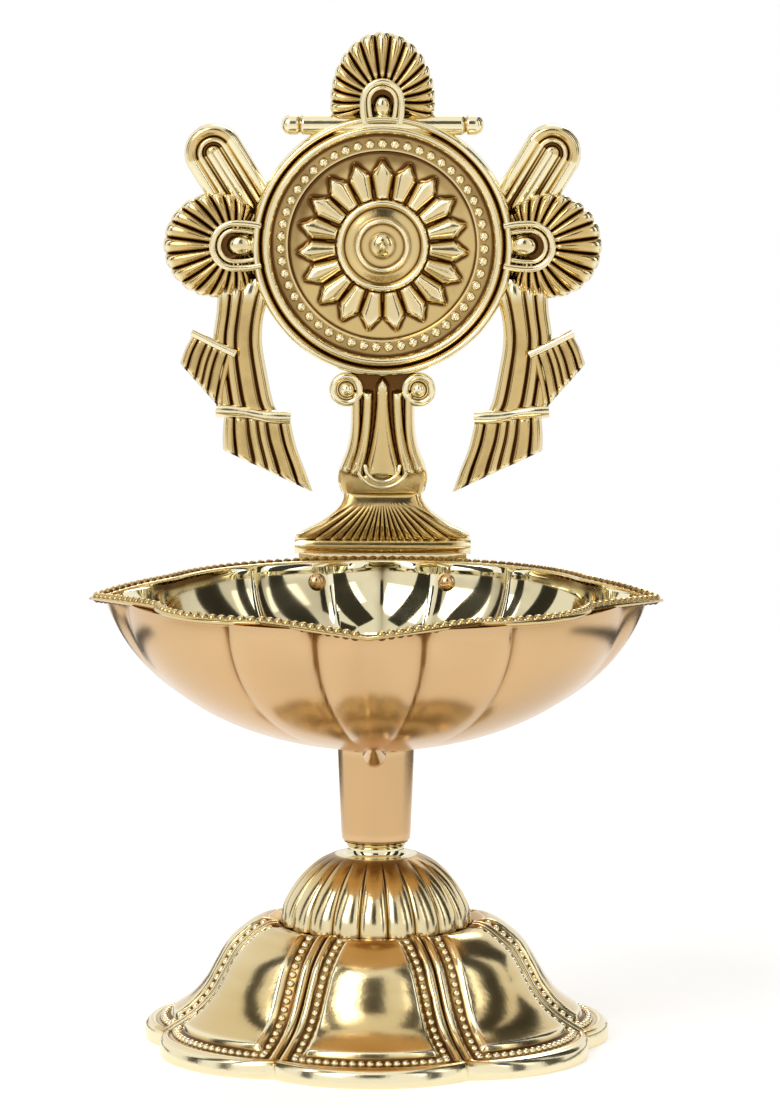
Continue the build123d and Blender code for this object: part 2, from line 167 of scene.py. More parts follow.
def capped(grid: Array, first: Array | None = None, last: Array | None = None) -> Array:
    """Closes both ends of a grid with poles.

    Args:
        grid: rows of closed sections.
        first: pole before the first row, or None for that row's middle.
        last: pole after the last row, or None for that row's middle.

    Returns:
        The grid with one more row at each end.
    """
    poles = (grid[0].mean(0) if first is None else first, grid[-1].mean(0) if last is None else last)
    start, end = (np.tile(pole, (1, grid.shape[1], 1)) for pole in poles)
    return np.concatenate((start, grid, end))


def tube(path: Array, radius: Array | float, sides: int = 10, closed: bool = False) -> Array:
    """Round section carried along a path: at each point a circle in the plane of the path's normal and +Y.

    Args:
        path: array of n by 3 that lies near a plane of constant y.
        radius: one radius, or one for each point.
        sides: points round the section.
        closed: whether the path's end meets its start.

    Returns:
        Grid of n by sides by 3, with a pole at each end of an open path.
    """
    run = unit(np.roll(path, -1, 0) - np.roll(path, 1, 0) if closed else np.gradient(path, axis=0))
    across = unit(np.cross(run, (0.0, 1.0, 0.0)))
    up = np.cross(across, run)
    angle = full_turn(sides)[:, None]
    reach = np.broadcast_to(np.asarray(radius, float), (len(path),))[:, None, None]
    grid = path[:, None] + reach * (np.cos(angle) * across[:, None] + np.sin(angle) * up[:, None])
    if closed:
        return grid
    return capped(grid, path[0] + POLE_STEP * (path[0] - path[1]), path[-1] + POLE_STEP * (path[-1] - path[-2]))


def beads(centres: Array, outward: Array, radius: float) -> Array:
    """Cast beads: balls of a few dozen faces, one at each centre, with the top along its outward direction.

    Args:
        centres: array of n by 3.
        outward: array of n by 3 of directions.
        radius: radius of a bead.

    Returns:
        Array of n grids of rows by sides by 3, with a pole on top and one under the foot.
    """
    tilt = np.radians(BEAD_TILTS)[:, None]
    turn = full_turn(BEAD_SIDES)
    helper = np.where(np.abs(outward[:, 2:]) < 0.9, (0.0, 0.0, 1.0), (1.0, 0.0, 0.0))
    across = unit(np.cross(outward, helper))
    ball = np.stack((np.sin(tilt) * np.cos(turn), np.sin(tilt) * np.sin(turn), np.cos(tilt) + 0 * turn), -1)
    axes = np.stack((across, np.cross(outward, across), outward), 1)
    return centres[:, None, None] + radius * np.einsum("rsk,nkj->nrsj", ball, axes)


def spaced(path: Array, gap: float) -> Array:
    """Evenly spaced places along a path.

    Args:
        path: array of n by 3.
        gap: wanted distance between places.

    Returns:
        The places.
    """
    length = distance_along(path)
    at = np.linspace(0, length[-1], max(2, int(round(length[-1] / gap))))
    return np.stack([np.interp(at, length, path[:, axis]) for axis in range(3)], -1)


# Finishes

def node(
    tree: bpy.types.NodeTree,
    kind: str,
    settings: dict[str | int, object] | None = None,
    links: dict[str | int, Socket] | None = None,
    out: str | int = 0,
) -> Socket:
    """Adds one node to a material or world.

    Args:
        tree: node tree that gets it.
        kind: Blender's name of the node type, without its first word ShaderNode.
        settings: properties or input values by name or number.
        links: sockets that feed inputs, by name or number.
        out: name or number of the wanted output.

    Returns:
        That output of the new node.
    """
    made = tree.nodes.new("ShaderNode" + kind)
    for key, value in (settings or {}).items():
        if isinstance(key, str) and hasattr(made, key):
            setattr(made, key, value)
        else:
            made.inputs[key].default_value = value
    for key, socket in (links or {}).items():
        tree.links.new(socket, made.inputs[key])
    return made.outputs[out]


@dataclass(frozen=True)
class MetalFinish:
    """One metal and how its surface was made.

    The colour goes from body to worn on the high places and to the patina colour in the hollows and where shade
    is painted, which the piece's own attribute gives. Cloud is the size of tarnish clouds and grain that of the
    surface's roughness.
    """

    name: str
    body: str
    worn: str
    patina_and_shade: str
    smooth: float
    rough: float
    cloud: float
    grain: float
    grain_depth: float
    stretch: tuple[float, float, float] = (1.0, 1.0, 1.0)

    @cached_property
    def material(self) -> bpy.types.Material:
        """The finish as a node material, made once."""
        made = bpy.data.materials.new(self.name)
        made.use_nodes = True
        tree = made.node_tree
        shader = tree.nodes["Principled BSDF"].inputs
        shader["Metallic"].default_value = 1.0
        place = node(tree, "TexCoord", out="Object")
        hollow = node(tree, "Attribute", {"attribute_name": "patina_and_shade"}, out="Fac")
        clouds = {"Scale": 1 / (self.cloud * MM), "Detail": 4.0, "Roughness": 0.6}
        cloud = node(tree, "TexNoise", clouds, {"Vector": place}, "Fac")
        lay = node(tree, "Mapping", {"Scale": self.stretch}, {"Vector": place}, "Vector")
        grain = node(tree, "TexNoise", {"Scale": 1 / (self.grain * MM), "Detail": 3.0}, {"Vector": lay}, "Fac")
        # Tarnish gathers in hollows, painted shade takes the same dark colour, and its edge is broken up by the
        # clouds
        drift = node(tree, "Math", {"operation": "MULTIPLY_ADD", 1: 0.9, 2: -0.5}, {0: cloud})
        stain = node(tree, "Math", {"operation": "ADD", "use_clamp": True}, {0: hollow, 1: drift})
        dark = node(tree, "MapRange", {"From Min": 0.02, "From Max": 0.75, "To Max": 0.96}, {"Value": stain})
        # Handling rubs the high places bright
        rub = node(tree, "MapRange", {"From Min": 0.0, "From Max": -0.7}, {"Value": hollow})
        tones = {"data_type": "RGBA", 6: linear(self.body), 7: linear(self.worn)}
        tone = node(tree, "Mix", tones, {0: rub}, 2)
        colour = node(tree, "Mix", {"data_type": "RGBA", 7: linear(self.patina_and_shade)}, {0: dark, 6: tone}, 2)
        haze = node(tree, "Math", {"operation": "MULTIPLY_ADD", 1: 0.5}, {0: cloud, 2: dark})
        sheen = {"From Min": 0.2, "From Max": 1.2, "To Min": self.smooth, "To Max": self.rough}
        dull = node(tree, "MapRange", sheen, {"Value": haze})
        relief = node(tree, "Bump", {"Strength": 0.5, "Distance": self.grain_depth * MM}, {"Height": grain})
        for name, socket in (("Base Color", colour), ("Roughness", dull), ("Normal", relief)):
            tree.links.new(socket, shader[name])
        return made


class Finish(Enum):
    """Finishes of the lamp."""

    # Sand-cast brass, buffed on the high places: bright ridges, brown oil tarnish left in the hollows
    CAST = MetalFinish("cast_brass_buffed", "D2B67A", "F3E7C0", "5E3A16", 0.16, 0.4, 9.0, 0.7, 0.03)
    # The same casting on its plain back: sandy grain, dull and evenly browned
    BACK = MetalFinish("cast_brass_rough", "A58452", "BD9C66", "4A2C0E", 0.38, 0.6, 7.0, 0.5, 0.08)
    # Brass turned and satin-brushed: warm pinkish sheen with faint lines round the axis
    SATIN = MetalFinish(
        "satin_brass_brushed", "CAA576", "D6B385", "7A5228", 0.2, 0.34, 14.0, 0.5, 0.01, (1, 1, 5)
    )
    # Brass buffed to a mirror: clean reflections with slight waves from hand polishing
    MIRROR = MetalFinish("mirror_brass_buffed", "E2D7B0", "F2EACB", "5E3E14", 0.05, 0.2, 16.0, 6.0, 0.02)
    # Zinc-plated steel: cool grey with a light crystalline grain
    ZINC = MetalFinish("zinc_plated_steel", "A9ABA8", "BFC1BE", "5B5750", 0.3, 0.5, 5.0, 0.6, 0.02)


def put(name: str, data: bpy.types.ID) -> bpy.types.Object:
    """Shows a mesh, light or camera in the scene.

    Args:
        name: name of the object.
        data: what it holds.

    Returns:
        The new object.
    """
    made = bpy.data.objects.new(name, data)
    bpy.context.scene.collection.objects.link(made)
    return made


@dataclass
class Casting:
    """Closed grids in millimetres that together make one piece of the lamp.

    With a plain back, every face that looks to +Y gets the piece's second finish.
    """

    name: str
    plain_back: bool = False
    points: list[Array] = field(default_factory=list)
    quads: list[Array] = field(default_factory=list)
    stains: list[Array] = field(default_factory=list)
    coats: list[Array] = field(default_factory=list)
    count: int = 0

    def add(self, grid: Array, stain: Array | float = 0.0, ring: bool = False, coat: Array | int = 0) -> None:
        """Adds one grid whose columns close on themselves.

        Args:
            grid: rows by columns by 3.
            stain: tarnish, and any painted shade, on top of what its hollows gather, below 0 where it is kept
                bright.
            ring: whether the last row meets the first.
            coat: number of the finish of each face row, 0 for the piece's main finish.
        """
        rows, columns = grid.shape[:2]
        row, column = np.meshgrid(np.arange(rows if ring else rows - 1), np.arange(columns), indexing="ij")
        next_row, next_column = (row + 1) % rows, (column + 1) % columns
        corners = (
            row * columns + column,
            row * columns + next_column,
            next_row * columns + next_column,
            next_row * columns + column,
        )
        self.quads.append(np.stack(corners, -1).reshape(-1, 4) + self.count)
        self.points.append(grid.reshape(-1, 3))
        self.stains.append(np.broadcast_to(stain, (rows, columns)).ravel())
        self.coats.append(np.repeat(np.broadcast_to(coat, (rows,))[: len(row)], columns))
        self.count += rows * columns

    def add_beads(self, path: Array, outward: Array, radius: float, stain: float = 0.0, coat: int = 0) -> None:
        """Adds a bead at each point of a path.

        Args:
            path: array of n by 3.
            outward: array of n by 3 of directions.
            radius: radius of a bead.
            stain: tarnish on top of what beads have.
            coat: number of their finish.
        """
        for grid in beads(path, outward, radius):
            self.add(grid, BEAD_STAIN + stain, coat=coat)

    def pour(self, finishes: list[Finish], body: str, slot: str, *replaced: str) -> None:
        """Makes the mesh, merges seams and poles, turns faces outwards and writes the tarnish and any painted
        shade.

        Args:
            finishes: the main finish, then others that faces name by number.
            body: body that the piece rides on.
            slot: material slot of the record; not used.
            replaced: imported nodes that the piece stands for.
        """
        mesh = bpy.data.meshes.new(self.name)
        mesh.from_pydata(np.concatenate(self.points) * MM, [], np.concatenate(self.quads))
        mesh.attributes.new("patina_and_shade", "FLOAT", "POINT").data.foreach_set("value", np.concatenate(self.stains))
        mesh.polygons.foreach_set("material_index", np.concatenate(self.coats).astype(np.int32))
        work = bmesh.new()
        work.from_mesh(mesh)
        bmesh.ops.remove_doubles(work, verts=work.verts, dist=MERGE)
        bmesh.ops.recalc_face_normals(work, faces=work.faces)
        work.to_mesh(mesh)
        work.free()
        if self.plain_back:
            facing = np.empty(len(mesh.polygons) * 3, np.float32)
            mesh.polygons.foreach_get("normal", facing)
            mesh.polygons.foreach_set("material_index", (facing[1::3] > BACK_FACING).astype(np.int32))
        mesh.shade_smooth()
        mesh.set_sharp_from_angle(angle=math.radians(SHARP_ANGLE))
        stain = np.empty(len(mesh.vertices), np.float32)
        patina_and_shade = mesh.attributes["patina_and_shade"].data
        patina_and_shade.foreach_get("value", stain)
        patina_and_shade.foreach_set("value", (stain + hollows(mesh, HOLLOW_ROUNDS, HOLLOW_DEPTH)).astype(np.float32))
        for finish in finishes:
            mesh.materials.append(finish.value.material)
        made = put(self.name, mesh)
        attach(made, body)
        if replaced:
            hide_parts(*replaced)
        log.info("%s: %d faces on %s", self.name, len(mesh.polygons), body)


def hollows(mesh: bpy.types.Mesh, rounds: int, depth: float) -> Array:
    """How far each point lies below the average of the points around it, along its normal.

    Args:
        mesh: mesh to read.
        rounds: how often the average is spread to the neighbours, which sets how wide it reaches.
        depth: depth in millimetres that counts as 1.

    Returns:
        A value from -1 on sharp ridges to 1 in deep creases, for each point.
    """
    count = len(mesh.vertices)
    edges = np.empty(len(mesh.edges) * 2, np.int32)
    mesh.edges.foreach_get("vertices", edges)
    first, second = edges.reshape(-1, 2).T
    place, normal = (np.empty(count * 3, np.float32) for _ in range(2))
    mesh.vertices.foreach_get("co", place)
    mesh.vertex_normals.foreach_get("vector", normal)
    place, normal = place.reshape(-1, 3), normal.reshape(-1, 3)
    degree = np.maximum(np.bincount(edges, minlength=count), 1)[:, None]
    soft = place
    for _ in range(rounds):
        total = [
            np.bincount(first, soft[second, axis], count) + np.bincount(second, soft[first, axis], count)
            for axis in range(3)
        ]
        soft = 0.4 * soft + 0.6 * np.stack(total, -1) / degree
    return np.clip(((soft - place) * normal).sum(1) / (depth * MM), -1, 1)


# The studio

@dataclass
class Studio:
    """Pale floor, soft lights, dark cards that metal mirrors, and the camera at the photograph's angle."""

    distance: float = 930.0
    eye_height: float = 197.0
    aim_height: float = 79.0
    azimuth: float = 1.5
    field_of_view: float = 10.8
    shift: float = 14 / IMAGE_HEIGHT
    floor_half: float = 4000.0
    floor_glow: float = 0.42
    white_from: float = 0.15
    white_to: float = 0.5
    room_light: float = 0.4

    def build(self) -> None:
        """Sets up everything that isn't the lamp."""
        bpy.context.scene.view_settings.view_transform = "Standard"
        self.camera()
        self.world()
        self.floor()
        self.light("key_light", (-700, -700, 900), 900, 8.5)
        self.light("fill_light", (850, -550, 650), 600, 1.4)
        self.light("rim_light", (150, 800, 800), 500, 3.0)
        for name, azimuth, elevation, width, height, distance in (
            ("card_front", 0, 34, 19, 36, 1000),
            ("card_left", -58, 32, 14, 66, 1000),
            ("card_right", 56, 32, 16, 66, 1000),
            ("card_far_left", -94, 32, 16, 64, 1000),
            ("card_far_right", 94, 32, 22, 66, 1000),
            ("card_back_right", 132, 38, 24, 44, 1000),
            ("card_low_left", -138, -19, 36, 4.5, 210),
            ("card_low_right", 126, -19, 56, 4.5, 210),
        ):
            self.card(name, azimuth, elevation, width, height, distance)

    def aimed(self, name: str, data: bpy.types.ID, place: tuple[float, float, float]) -> bpy.types.Object:
        """Stands a camera or light at a place and points it at the lamp's middle.

        Args:
            name: name of the object.
            data: the camera or light.
            place: where it stands.

        Returns:
            The new object.
        """
        made = put(name, data)
        made.location = Vector(place) * MM
        aim = Vector((0, 0, self.aim_height * MM)) - made.location
        made.rotation_euler = aim.to_track_quat("-Z", "Y").to_euler()
        return made

    def camera(self) -> None:
        """Places the camera on a turn about the lamp's axis."""
        data = bpy.data.cameras.new("camera")
        data.sensor_fit = "VERTICAL"
        data.angle = math.radians(self.field_of_view)
        data.shift_x = self.shift
        data.clip_start = 0.01
        turn = math.radians(self.azimuth)
        place = (self.distance * math.sin(turn), -self.distance * math.cos(turn), self.eye_height)
        bpy.context.scene.camera = self.aimed("camera", data, place)

    def light(self, name: str, place: tuple[float, float, float], size: float, power: float) -> None:
        """Square soft light that points at the lamp.

        Args:
            name: name of the light.
            place: where it stands.
            size: its side.
            power: its power in watts.
        """
        data = bpy.data.lights.new(name, "AREA")
        data.size = size * MM
        data.energy = power
        self.aimed(name, data, place)

    def seen(self, tree: bpy.types.NodeTree) -> Socket:
        """1 for rays from the camera, from a mirror or through glass, and 0 for the rest.

        Args:
            tree: node tree that asks.

        Returns:
            Socket that gives it.
        """
        ray = node(tree, "LightPath").node.outputs
        pair = node(tree, "Math", {"operation": "MAXIMUM"}, {0: ray["Is Camera Ray"], 1: ray["Is Glossy Ray"]})
        return node(tree, "Math", {"operation": "MAXIMUM"}, {0: pair, 1: ray["Is Transmission Ray"]})

    def world(self) -> None:
        """White where it is seen or mirrored, and a softer light elsewhere."""
        made = bpy.data.worlds.new("studio")
        bpy.context.scene.world = made
        made.use_nodes = True
        tree = made.node_tree
        sky = tree.nodes["Background"].inputs
        level = node(tree, "MapRange", {"To Min": self.room_light, "To Max": 1.0}, {"Value": self.seen(tree)})
        tree.links.new(level, sky["Strength"])
        sky["Color"].default_value = WHITE

    def floor(self) -> None:
        """Pale floor that goes over into the white behind it and keeps the lamp's shadow."""
        made = bpy.data.materials.new("matt_white_paper")
        made.use_nodes = True
        tree = made.node_tree
        shader = tree.nodes["Principled BSDF"]
        shader.inputs["Roughness"].default_value = 0.9
        shader.inputs["Base Color"].default_value = linear("E9E8E6")
        shader.inputs["Emission Color"].default_value = WHITE
        level = node(tree, "MapRange", {"To Max": self.floor_glow}, {"Value": self.seen(tree)})
        tree.links.new(level, shader.inputs["Emission Strength"])
        # Away from the lamp the paper is as white as the backdrop
        place = node(tree, "TexCoord", out="Object")
        away = node(tree, "VectorMath", {"operation": "LENGTH"}, {0: place}, "Value")
        reach = {"From Min": self.white_from, "From Max": self.white_to}
        share = node(tree, "MapRange", reach, {"Value": away})
        white = node(tree, "Emission", {"Color": WHITE, "Strength": 1.0})
        paper = node(tree, "MixShader", {}, {0: share, 1: shader.outputs[0], 2: white})
        tree.links.new(paper, tree.nodes["Material Output"].inputs["Surface"])
        self.plane("floor", np.array([(-1, -1, 0), (1, -1, 0), (1, 1, 0), (-1, 1, 0)]) * self.floor_half, made)

    @cached_property
    def dark_card(self) -> bpy.types.Material:
        """Matt dark card, made once."""
        made = bpy.data.materials.new("dark_card")
        made.use_nodes = True
        shader = made.node_tree.nodes["Principled BSDF"].inputs
        shader["Base Color"].default_value = linear("2C2A22")
        shader["Roughness"].default_value = 1.0
        return made

    def card(
        self, name: str, azimuth: float, elevation: float, width: float, height: float, distance: float
    ) -> None:
        """Dark card that faces the lamp, seen only in mirrored light.

        Args:
            name: name of the card.
            azimuth: direction from the front towards +X, in degrees.
            elevation: direction above the level of the lamp's middle, in degrees.
            width: width in degrees, as seen from the lamp.
            height: height in degrees, as seen from the lamp.
            distance: distance from the lamp's middle.
        """
        turn, tilt = math.radians(azimuth), math.radians(elevation)
        direction = around(math.cos(tilt), turn, math.sin(tilt))
        middle = distance * direction + np.array((0.0, 0.0, self.aim_height))
        half = [distance * math.tan(math.radians(angle / 2)) for angle in (width, height)]
        across = np.cross(-direction, (0.0, 0.0, 1.0))
        across *= half[0] / np.linalg.norm(across)
        up = np.cross(across, -direction)
        up *= half[1] / np.linalg.norm(up)
        corners = [middle + right * across + high * up for right, high in ((-1, -1), (1, -1), (1, 1), (-1, 1))]
        flag = self.plane(name, np.stack(corners), self.dark_card)
        flag.visible_camera = False
        flag.visible_diffuse = False
        flag.visible_shadow = False
        flag.visible_transmission = False

    def plane(self, name: str, corners: Array, material: bpy.types.Material) -> bpy.types.Object:
        """Makes one flat four-cornered sheet of the studio.

        Args:
            name: name of the sheet.
            corners: array of 4 by 3.
            material: what it is made of.

        Returns:
            The new object.
        """
        mesh = bpy.data.meshes.new(name)
        mesh.from_pydata(corners * MM, [], [(0, 1, 2, 3)])
        mesh.materials.append(material)
        made = put(name, mesh)
        return made


# Foot, dome and column

@dataclass
class PetalFoot:
    """Hollow foot of seven pillowed petals, each framed by beads, with double ribs between them."""

    petals: int = 7
    petal_columns: int = 84
    rows: int = 104
    valley: float = 1.7
    notch: float = 3.2
    seat_radius: float = 15.6
    seat_height: float = 18.5
    seat_top: float = 19.3
    hole_radius: float = 12.8
    bead_radius: float = 0.62
    bead_gap: float = 1.35
    bead_tilt: float = 0.75
    rib_line: float = 0.85
    rib_height: float = 0.7
    lip_height: float = 0.75
    panel_height: float = 0.75
    side_beads: float = 2.85
    lip_beads: float = 3.6
    flank: Line = (
        (17.4, 19.3), (18.9, 19.1), (21.2, 17.6), (23.6, 15.4), (25.5, 12.3), (27.2, 9.3), (29.3, 6.7),
        (32.0, 4.6), (35.2, 2.9), (37.9, 1.7),
    )
    hollow: Line = ((33.0, 0.0), (30.6, 1.6), (27.0, 5.6), (23.0, 10.6), (19.0, 14.4), (12.8, 16.4))

    def flank_point(self, across: Array, down: Array) -> tuple[Array, Array, Array]:
        """Point on a petal's flank, and how far it is from the nearest rib and from the lip.

        The radius falls from the middle line of the petal to the valley with the power 2.3 of the share across.
        Ribs, lip and panel are raised along the normal of the flank's profile.

        Args:
            across: place across the petals, in petals, whole numbers on the middle lines.
            down: share of the way from the crest to the lip.

        Returns:
            Points by 3, distance to the rib and distance to the lip.
        """
        line = fade(self.flank, 400)
        share = np.linspace(0, 1, len(line))
        run = unit(np.gradient(line, axis=0))
        length = distance_along(line)
        radius, height, out, up = (
            np.interp(down, share, values) for values in (line[:, 0], line[:, 1], -run[:, 1], run[:, 0])
        )
        lip = length[-1] - np.interp(down, share, length)
        side = np.abs(2 * (across - np.round(across)))
        rib = (1 - side) * math.pi / self.petals * radius
        low = radius - self.valley - (self.notch - self.valley) * down**9
        plan = low + (radius - low) * (1 - side**2.3)
        ribs = self.rib_height * roll(rib - self.rib_line, 0.8) * ease(0.2, 1.8, lip)
        edge = self.lip_height * roll(lip - 1.0, 1.25) + 0.25 * roll(lip - 2.35, 0.5)
        panel = self.panel_height * ease(3.5, 4.5, rib) * ease(4.5, 5.7, lip) * (0.6 + 0.4 * ease(0, 0.2, down))
        lift = np.maximum.reduce((ribs, edge, panel))
        plan = plan + lift * out * ease(0, 1.5, lip)
        return around(plan, across * TURN / self.petals, height + lift * up), rib, lip

    def build(self) -> None:
        """Makes the foot with its beads."""
        piece = Casting("petal_foot_cast")
        columns = np.linspace(0, self.petals, self.petals * self.petal_columns, endpoint=False)[None]
        rows = np.linspace(0, 1, self.rows)[:, None]
        flank, rib, lip = self.flank_point(columns + 0 * rows, rows + 0 * columns)
        channel = ease(4.2, 3.4, rib) + ease(5.2, 4.4, lip) * ease(2.4, 3.0, lip)
        stain = 0.42 * np.clip(channel, 0, 1) + 0.5 * ease(0.2, 0.0, rows) - 0.12
        corner, under = (flank[-1:] * (1, 1, 0) + (0, 0, height) for height in (0.4, 0.0))
        inside = lathe(fade(self.hollow, 14), columns.size)
        seat = lathe(
            np.array([
                (self.hole_radius, self.seat_height),
                (self.seat_radius, self.seat_height),
                (self.seat_radius, self.seat_top - 0.1),
                (self.seat_radius + 0.1, self.seat_top),
            ]),
            columns.size,
        )
        grid = np.concatenate((flank, corner, under, inside, seat))
        plain = np.full((len(grid) - len(flank), columns.size), INNER_STAIN)
        coat = np.repeat((0, 1), (len(flank) + 1, len(grid) - len(flank) - 1))
        piece.add(grid, np.concatenate((stain + 0 * columns, plain)), ring=True, coat=coat)
        for petal in range(self.petals):
            self.frame_beads(piece, petal)
        piece.pour([Finish.CAST, Finish.BACK], "base", "cast_brass", "petal_foot")

    def frame_beads(self, piece: Casting, petal: int) -> None:
        """Adds the beads along both sides and the bottom of one petal, each standing out from the foot.

        Args:
            piece: casting that gets them.
            petal: number of the petal.
        """
        down = np.linspace(0.1, 1, 300)
        radius = fade(self.flank, 400)[(down * 399).astype(int), 0]
        half = 0.5 - self.side_beads / (radius * TURN / self.petals)
        paths = []
        for side in (-1, 1):
            place, _, lip = self.flank_point(petal + side * half, down)
            paths.append(place[lip > self.lip_beads + 0.7])
        across = np.linspace(-0.5, 0.5, 200)
        middle = self.flank_point(np.full_like(down, petal), down)
        row = np.interp(-self.lip_beads, -middle[2], down)
        place, rib, _ = self.flank_point(petal + across, np.full_like(across, row))
        paths.append(place[rib > self.side_beads])
        for path in paths:
            places = spaced(path, self.bead_gap)
            upward = np.linalg.norm(places[:, :2], axis=1) * self.bead_tilt
            outward = unit(np.stack((places[:, 0], places[:, 1], upward), -1))
            piece.add_beads(places, outward, self.bead_radius)


@dataclass
class FlutedDome:
    """Bell of twenty round flutes that meet in sharp valleys."""

    flutes: int = 20
    flute_columns: int = 22
    depth: float = 1.15
    base: float = 18.5
    top: float = 30.5
    foot_radius: float = 15.4
    flank: Line = (
        (15.35, 18.5), (15.4, 19.6), (15.0, 21.9), (13.9, 24.3), (12.1, 26.8), (9.8, 28.9), (7.4, 30.2),
        (6.4, 30.5),
    )
    inside: Line = ((3.3, 30.5), (3.3, 27.5), (6.1, 27.5), (9.6, 25.2), (12.2, 21.6), (13.0, 18.5))

    def build(self) -> None:
        """Makes the bell: a flute's section is half of an ellipse, shallower towards the crown."""
        piece = Casting("fluted_dome_cast")
        line = fade(self.flank, 70)
        across = np.linspace(0, self.flutes, self.flutes * self.flute_columns, endpoint=False)
        crest, height = line[:, :1], line[:, 1:]
        depth = self.depth * (crest / self.foot_radius) ** 0.7 * ease(self.top, self.top - 1.6, height)
        radius = crest - depth * (1 - ripple(across, 0.97)) - 0.5 * ease(self.base + 0.8, self.base, height)
        shell = around(radius, across * TURN / self.flutes, height)
        inside = lathe(np.array(self.inside), across.size)
        stain = 0.75 * ease(25.0, 30.0, height) - 0.2 + 0.3 * ease(19.4, 18.6, height)
        stain = np.concatenate((stain, np.full((len(inside), 1), INNER_STAIN)))
        piece.add(np.concatenate((shell, inside)), stain, ring=True)
        piece.pour([Finish.CAST], "base", "cast_brass", "fluted_dome")


@dataclass
class Column:
    """Polished neck ring and satin stem, both turned, with a bore for the stud."""

    bore: float = 3.05
    ring_base: float = 30.5
    ring_top: float = 32.6
    ring_radius: float = 5.2
    ring_waist: float = 4.6
    stem_foot: float = 5.5
    stem_top: float = 6.2
    stem_gap: float = 0.03
    stem_end: float = 48.4
    socket: float = 4.25
    socket_depth: float = 4.5
    segments: int = 160

    def turned(self, name: str, edge: Array, bore: list[tuple[float, float]], seam: Array) -> Casting:
        """Turned piece whose outer edge and bore make one closed section.

        Args:
            name: name of the piece.
            edge: outer edge from the bottom up, radius and height.
            bore: corners of the bore from the top down.
            seam: tarnish along the edge.

        Returns:
            The casting, ready to be poured.
        """
        piece = Casting(name)
        stain = np.concatenate((seam, np.full(len(bore), INNER_STAIN)))[:, None]
        piece.add(lathe(np.concatenate((edge, bore)), self.segments), stain, ring=True)
        return piece

    def build(self) -> None:
        """Makes both turned pieces."""
        rise = np.linspace(0, 1, 24)
        waist = self.ring_radius - (self.ring_radius - self.ring_waist) * np.sin(np.pi * rise) ** 0.7
        edge = np.stack((waist, self.ring_base + rise * (self.ring_top - self.ring_base)), -1)
        seam = 0.9 * ease(0.86, 0.98, rise) + 0.5 * ease(0.1, 0.02, rise) - 0.25
        bore = [(self.bore, self.ring_top), (self.bore, self.ring_base)]
        ring = self.turned("neck_ring_turned", edge, bore, seam)
        ring.pour([Finish.MIRROR], "collar", "turned_brass", "neck_ring")
        rise = np.linspace(0, 1, 40)
        radius = self.stem_foot + (self.stem_top - self.stem_foot) * rise**0.9
        radius = radius - 0.35 * ease(0.03, 0.0, rise) - 0.2 * ease(0.98, 1.0, rise)
        start = self.ring_top + self.stem_gap
        edge = np.stack((radius, start + rise * (self.stem_end - start)), -1)
        seam = 0.8 * ease(0.03, 0.0, rise) + 0.35 * ease(0.9, 1.0, rise) - 0.1
        floor = self.stem_end - self.socket_depth
        bore = [(self.socket, self.stem_end), (self.socket, floor), (self.bore, floor), (self.bore, start)]
        stem = self.turned("stem_turned", edge, bore, seam)
        stem.pour([Finish.SATIN], "upper", "satin_brass", "stem")


# Bowl and its screws

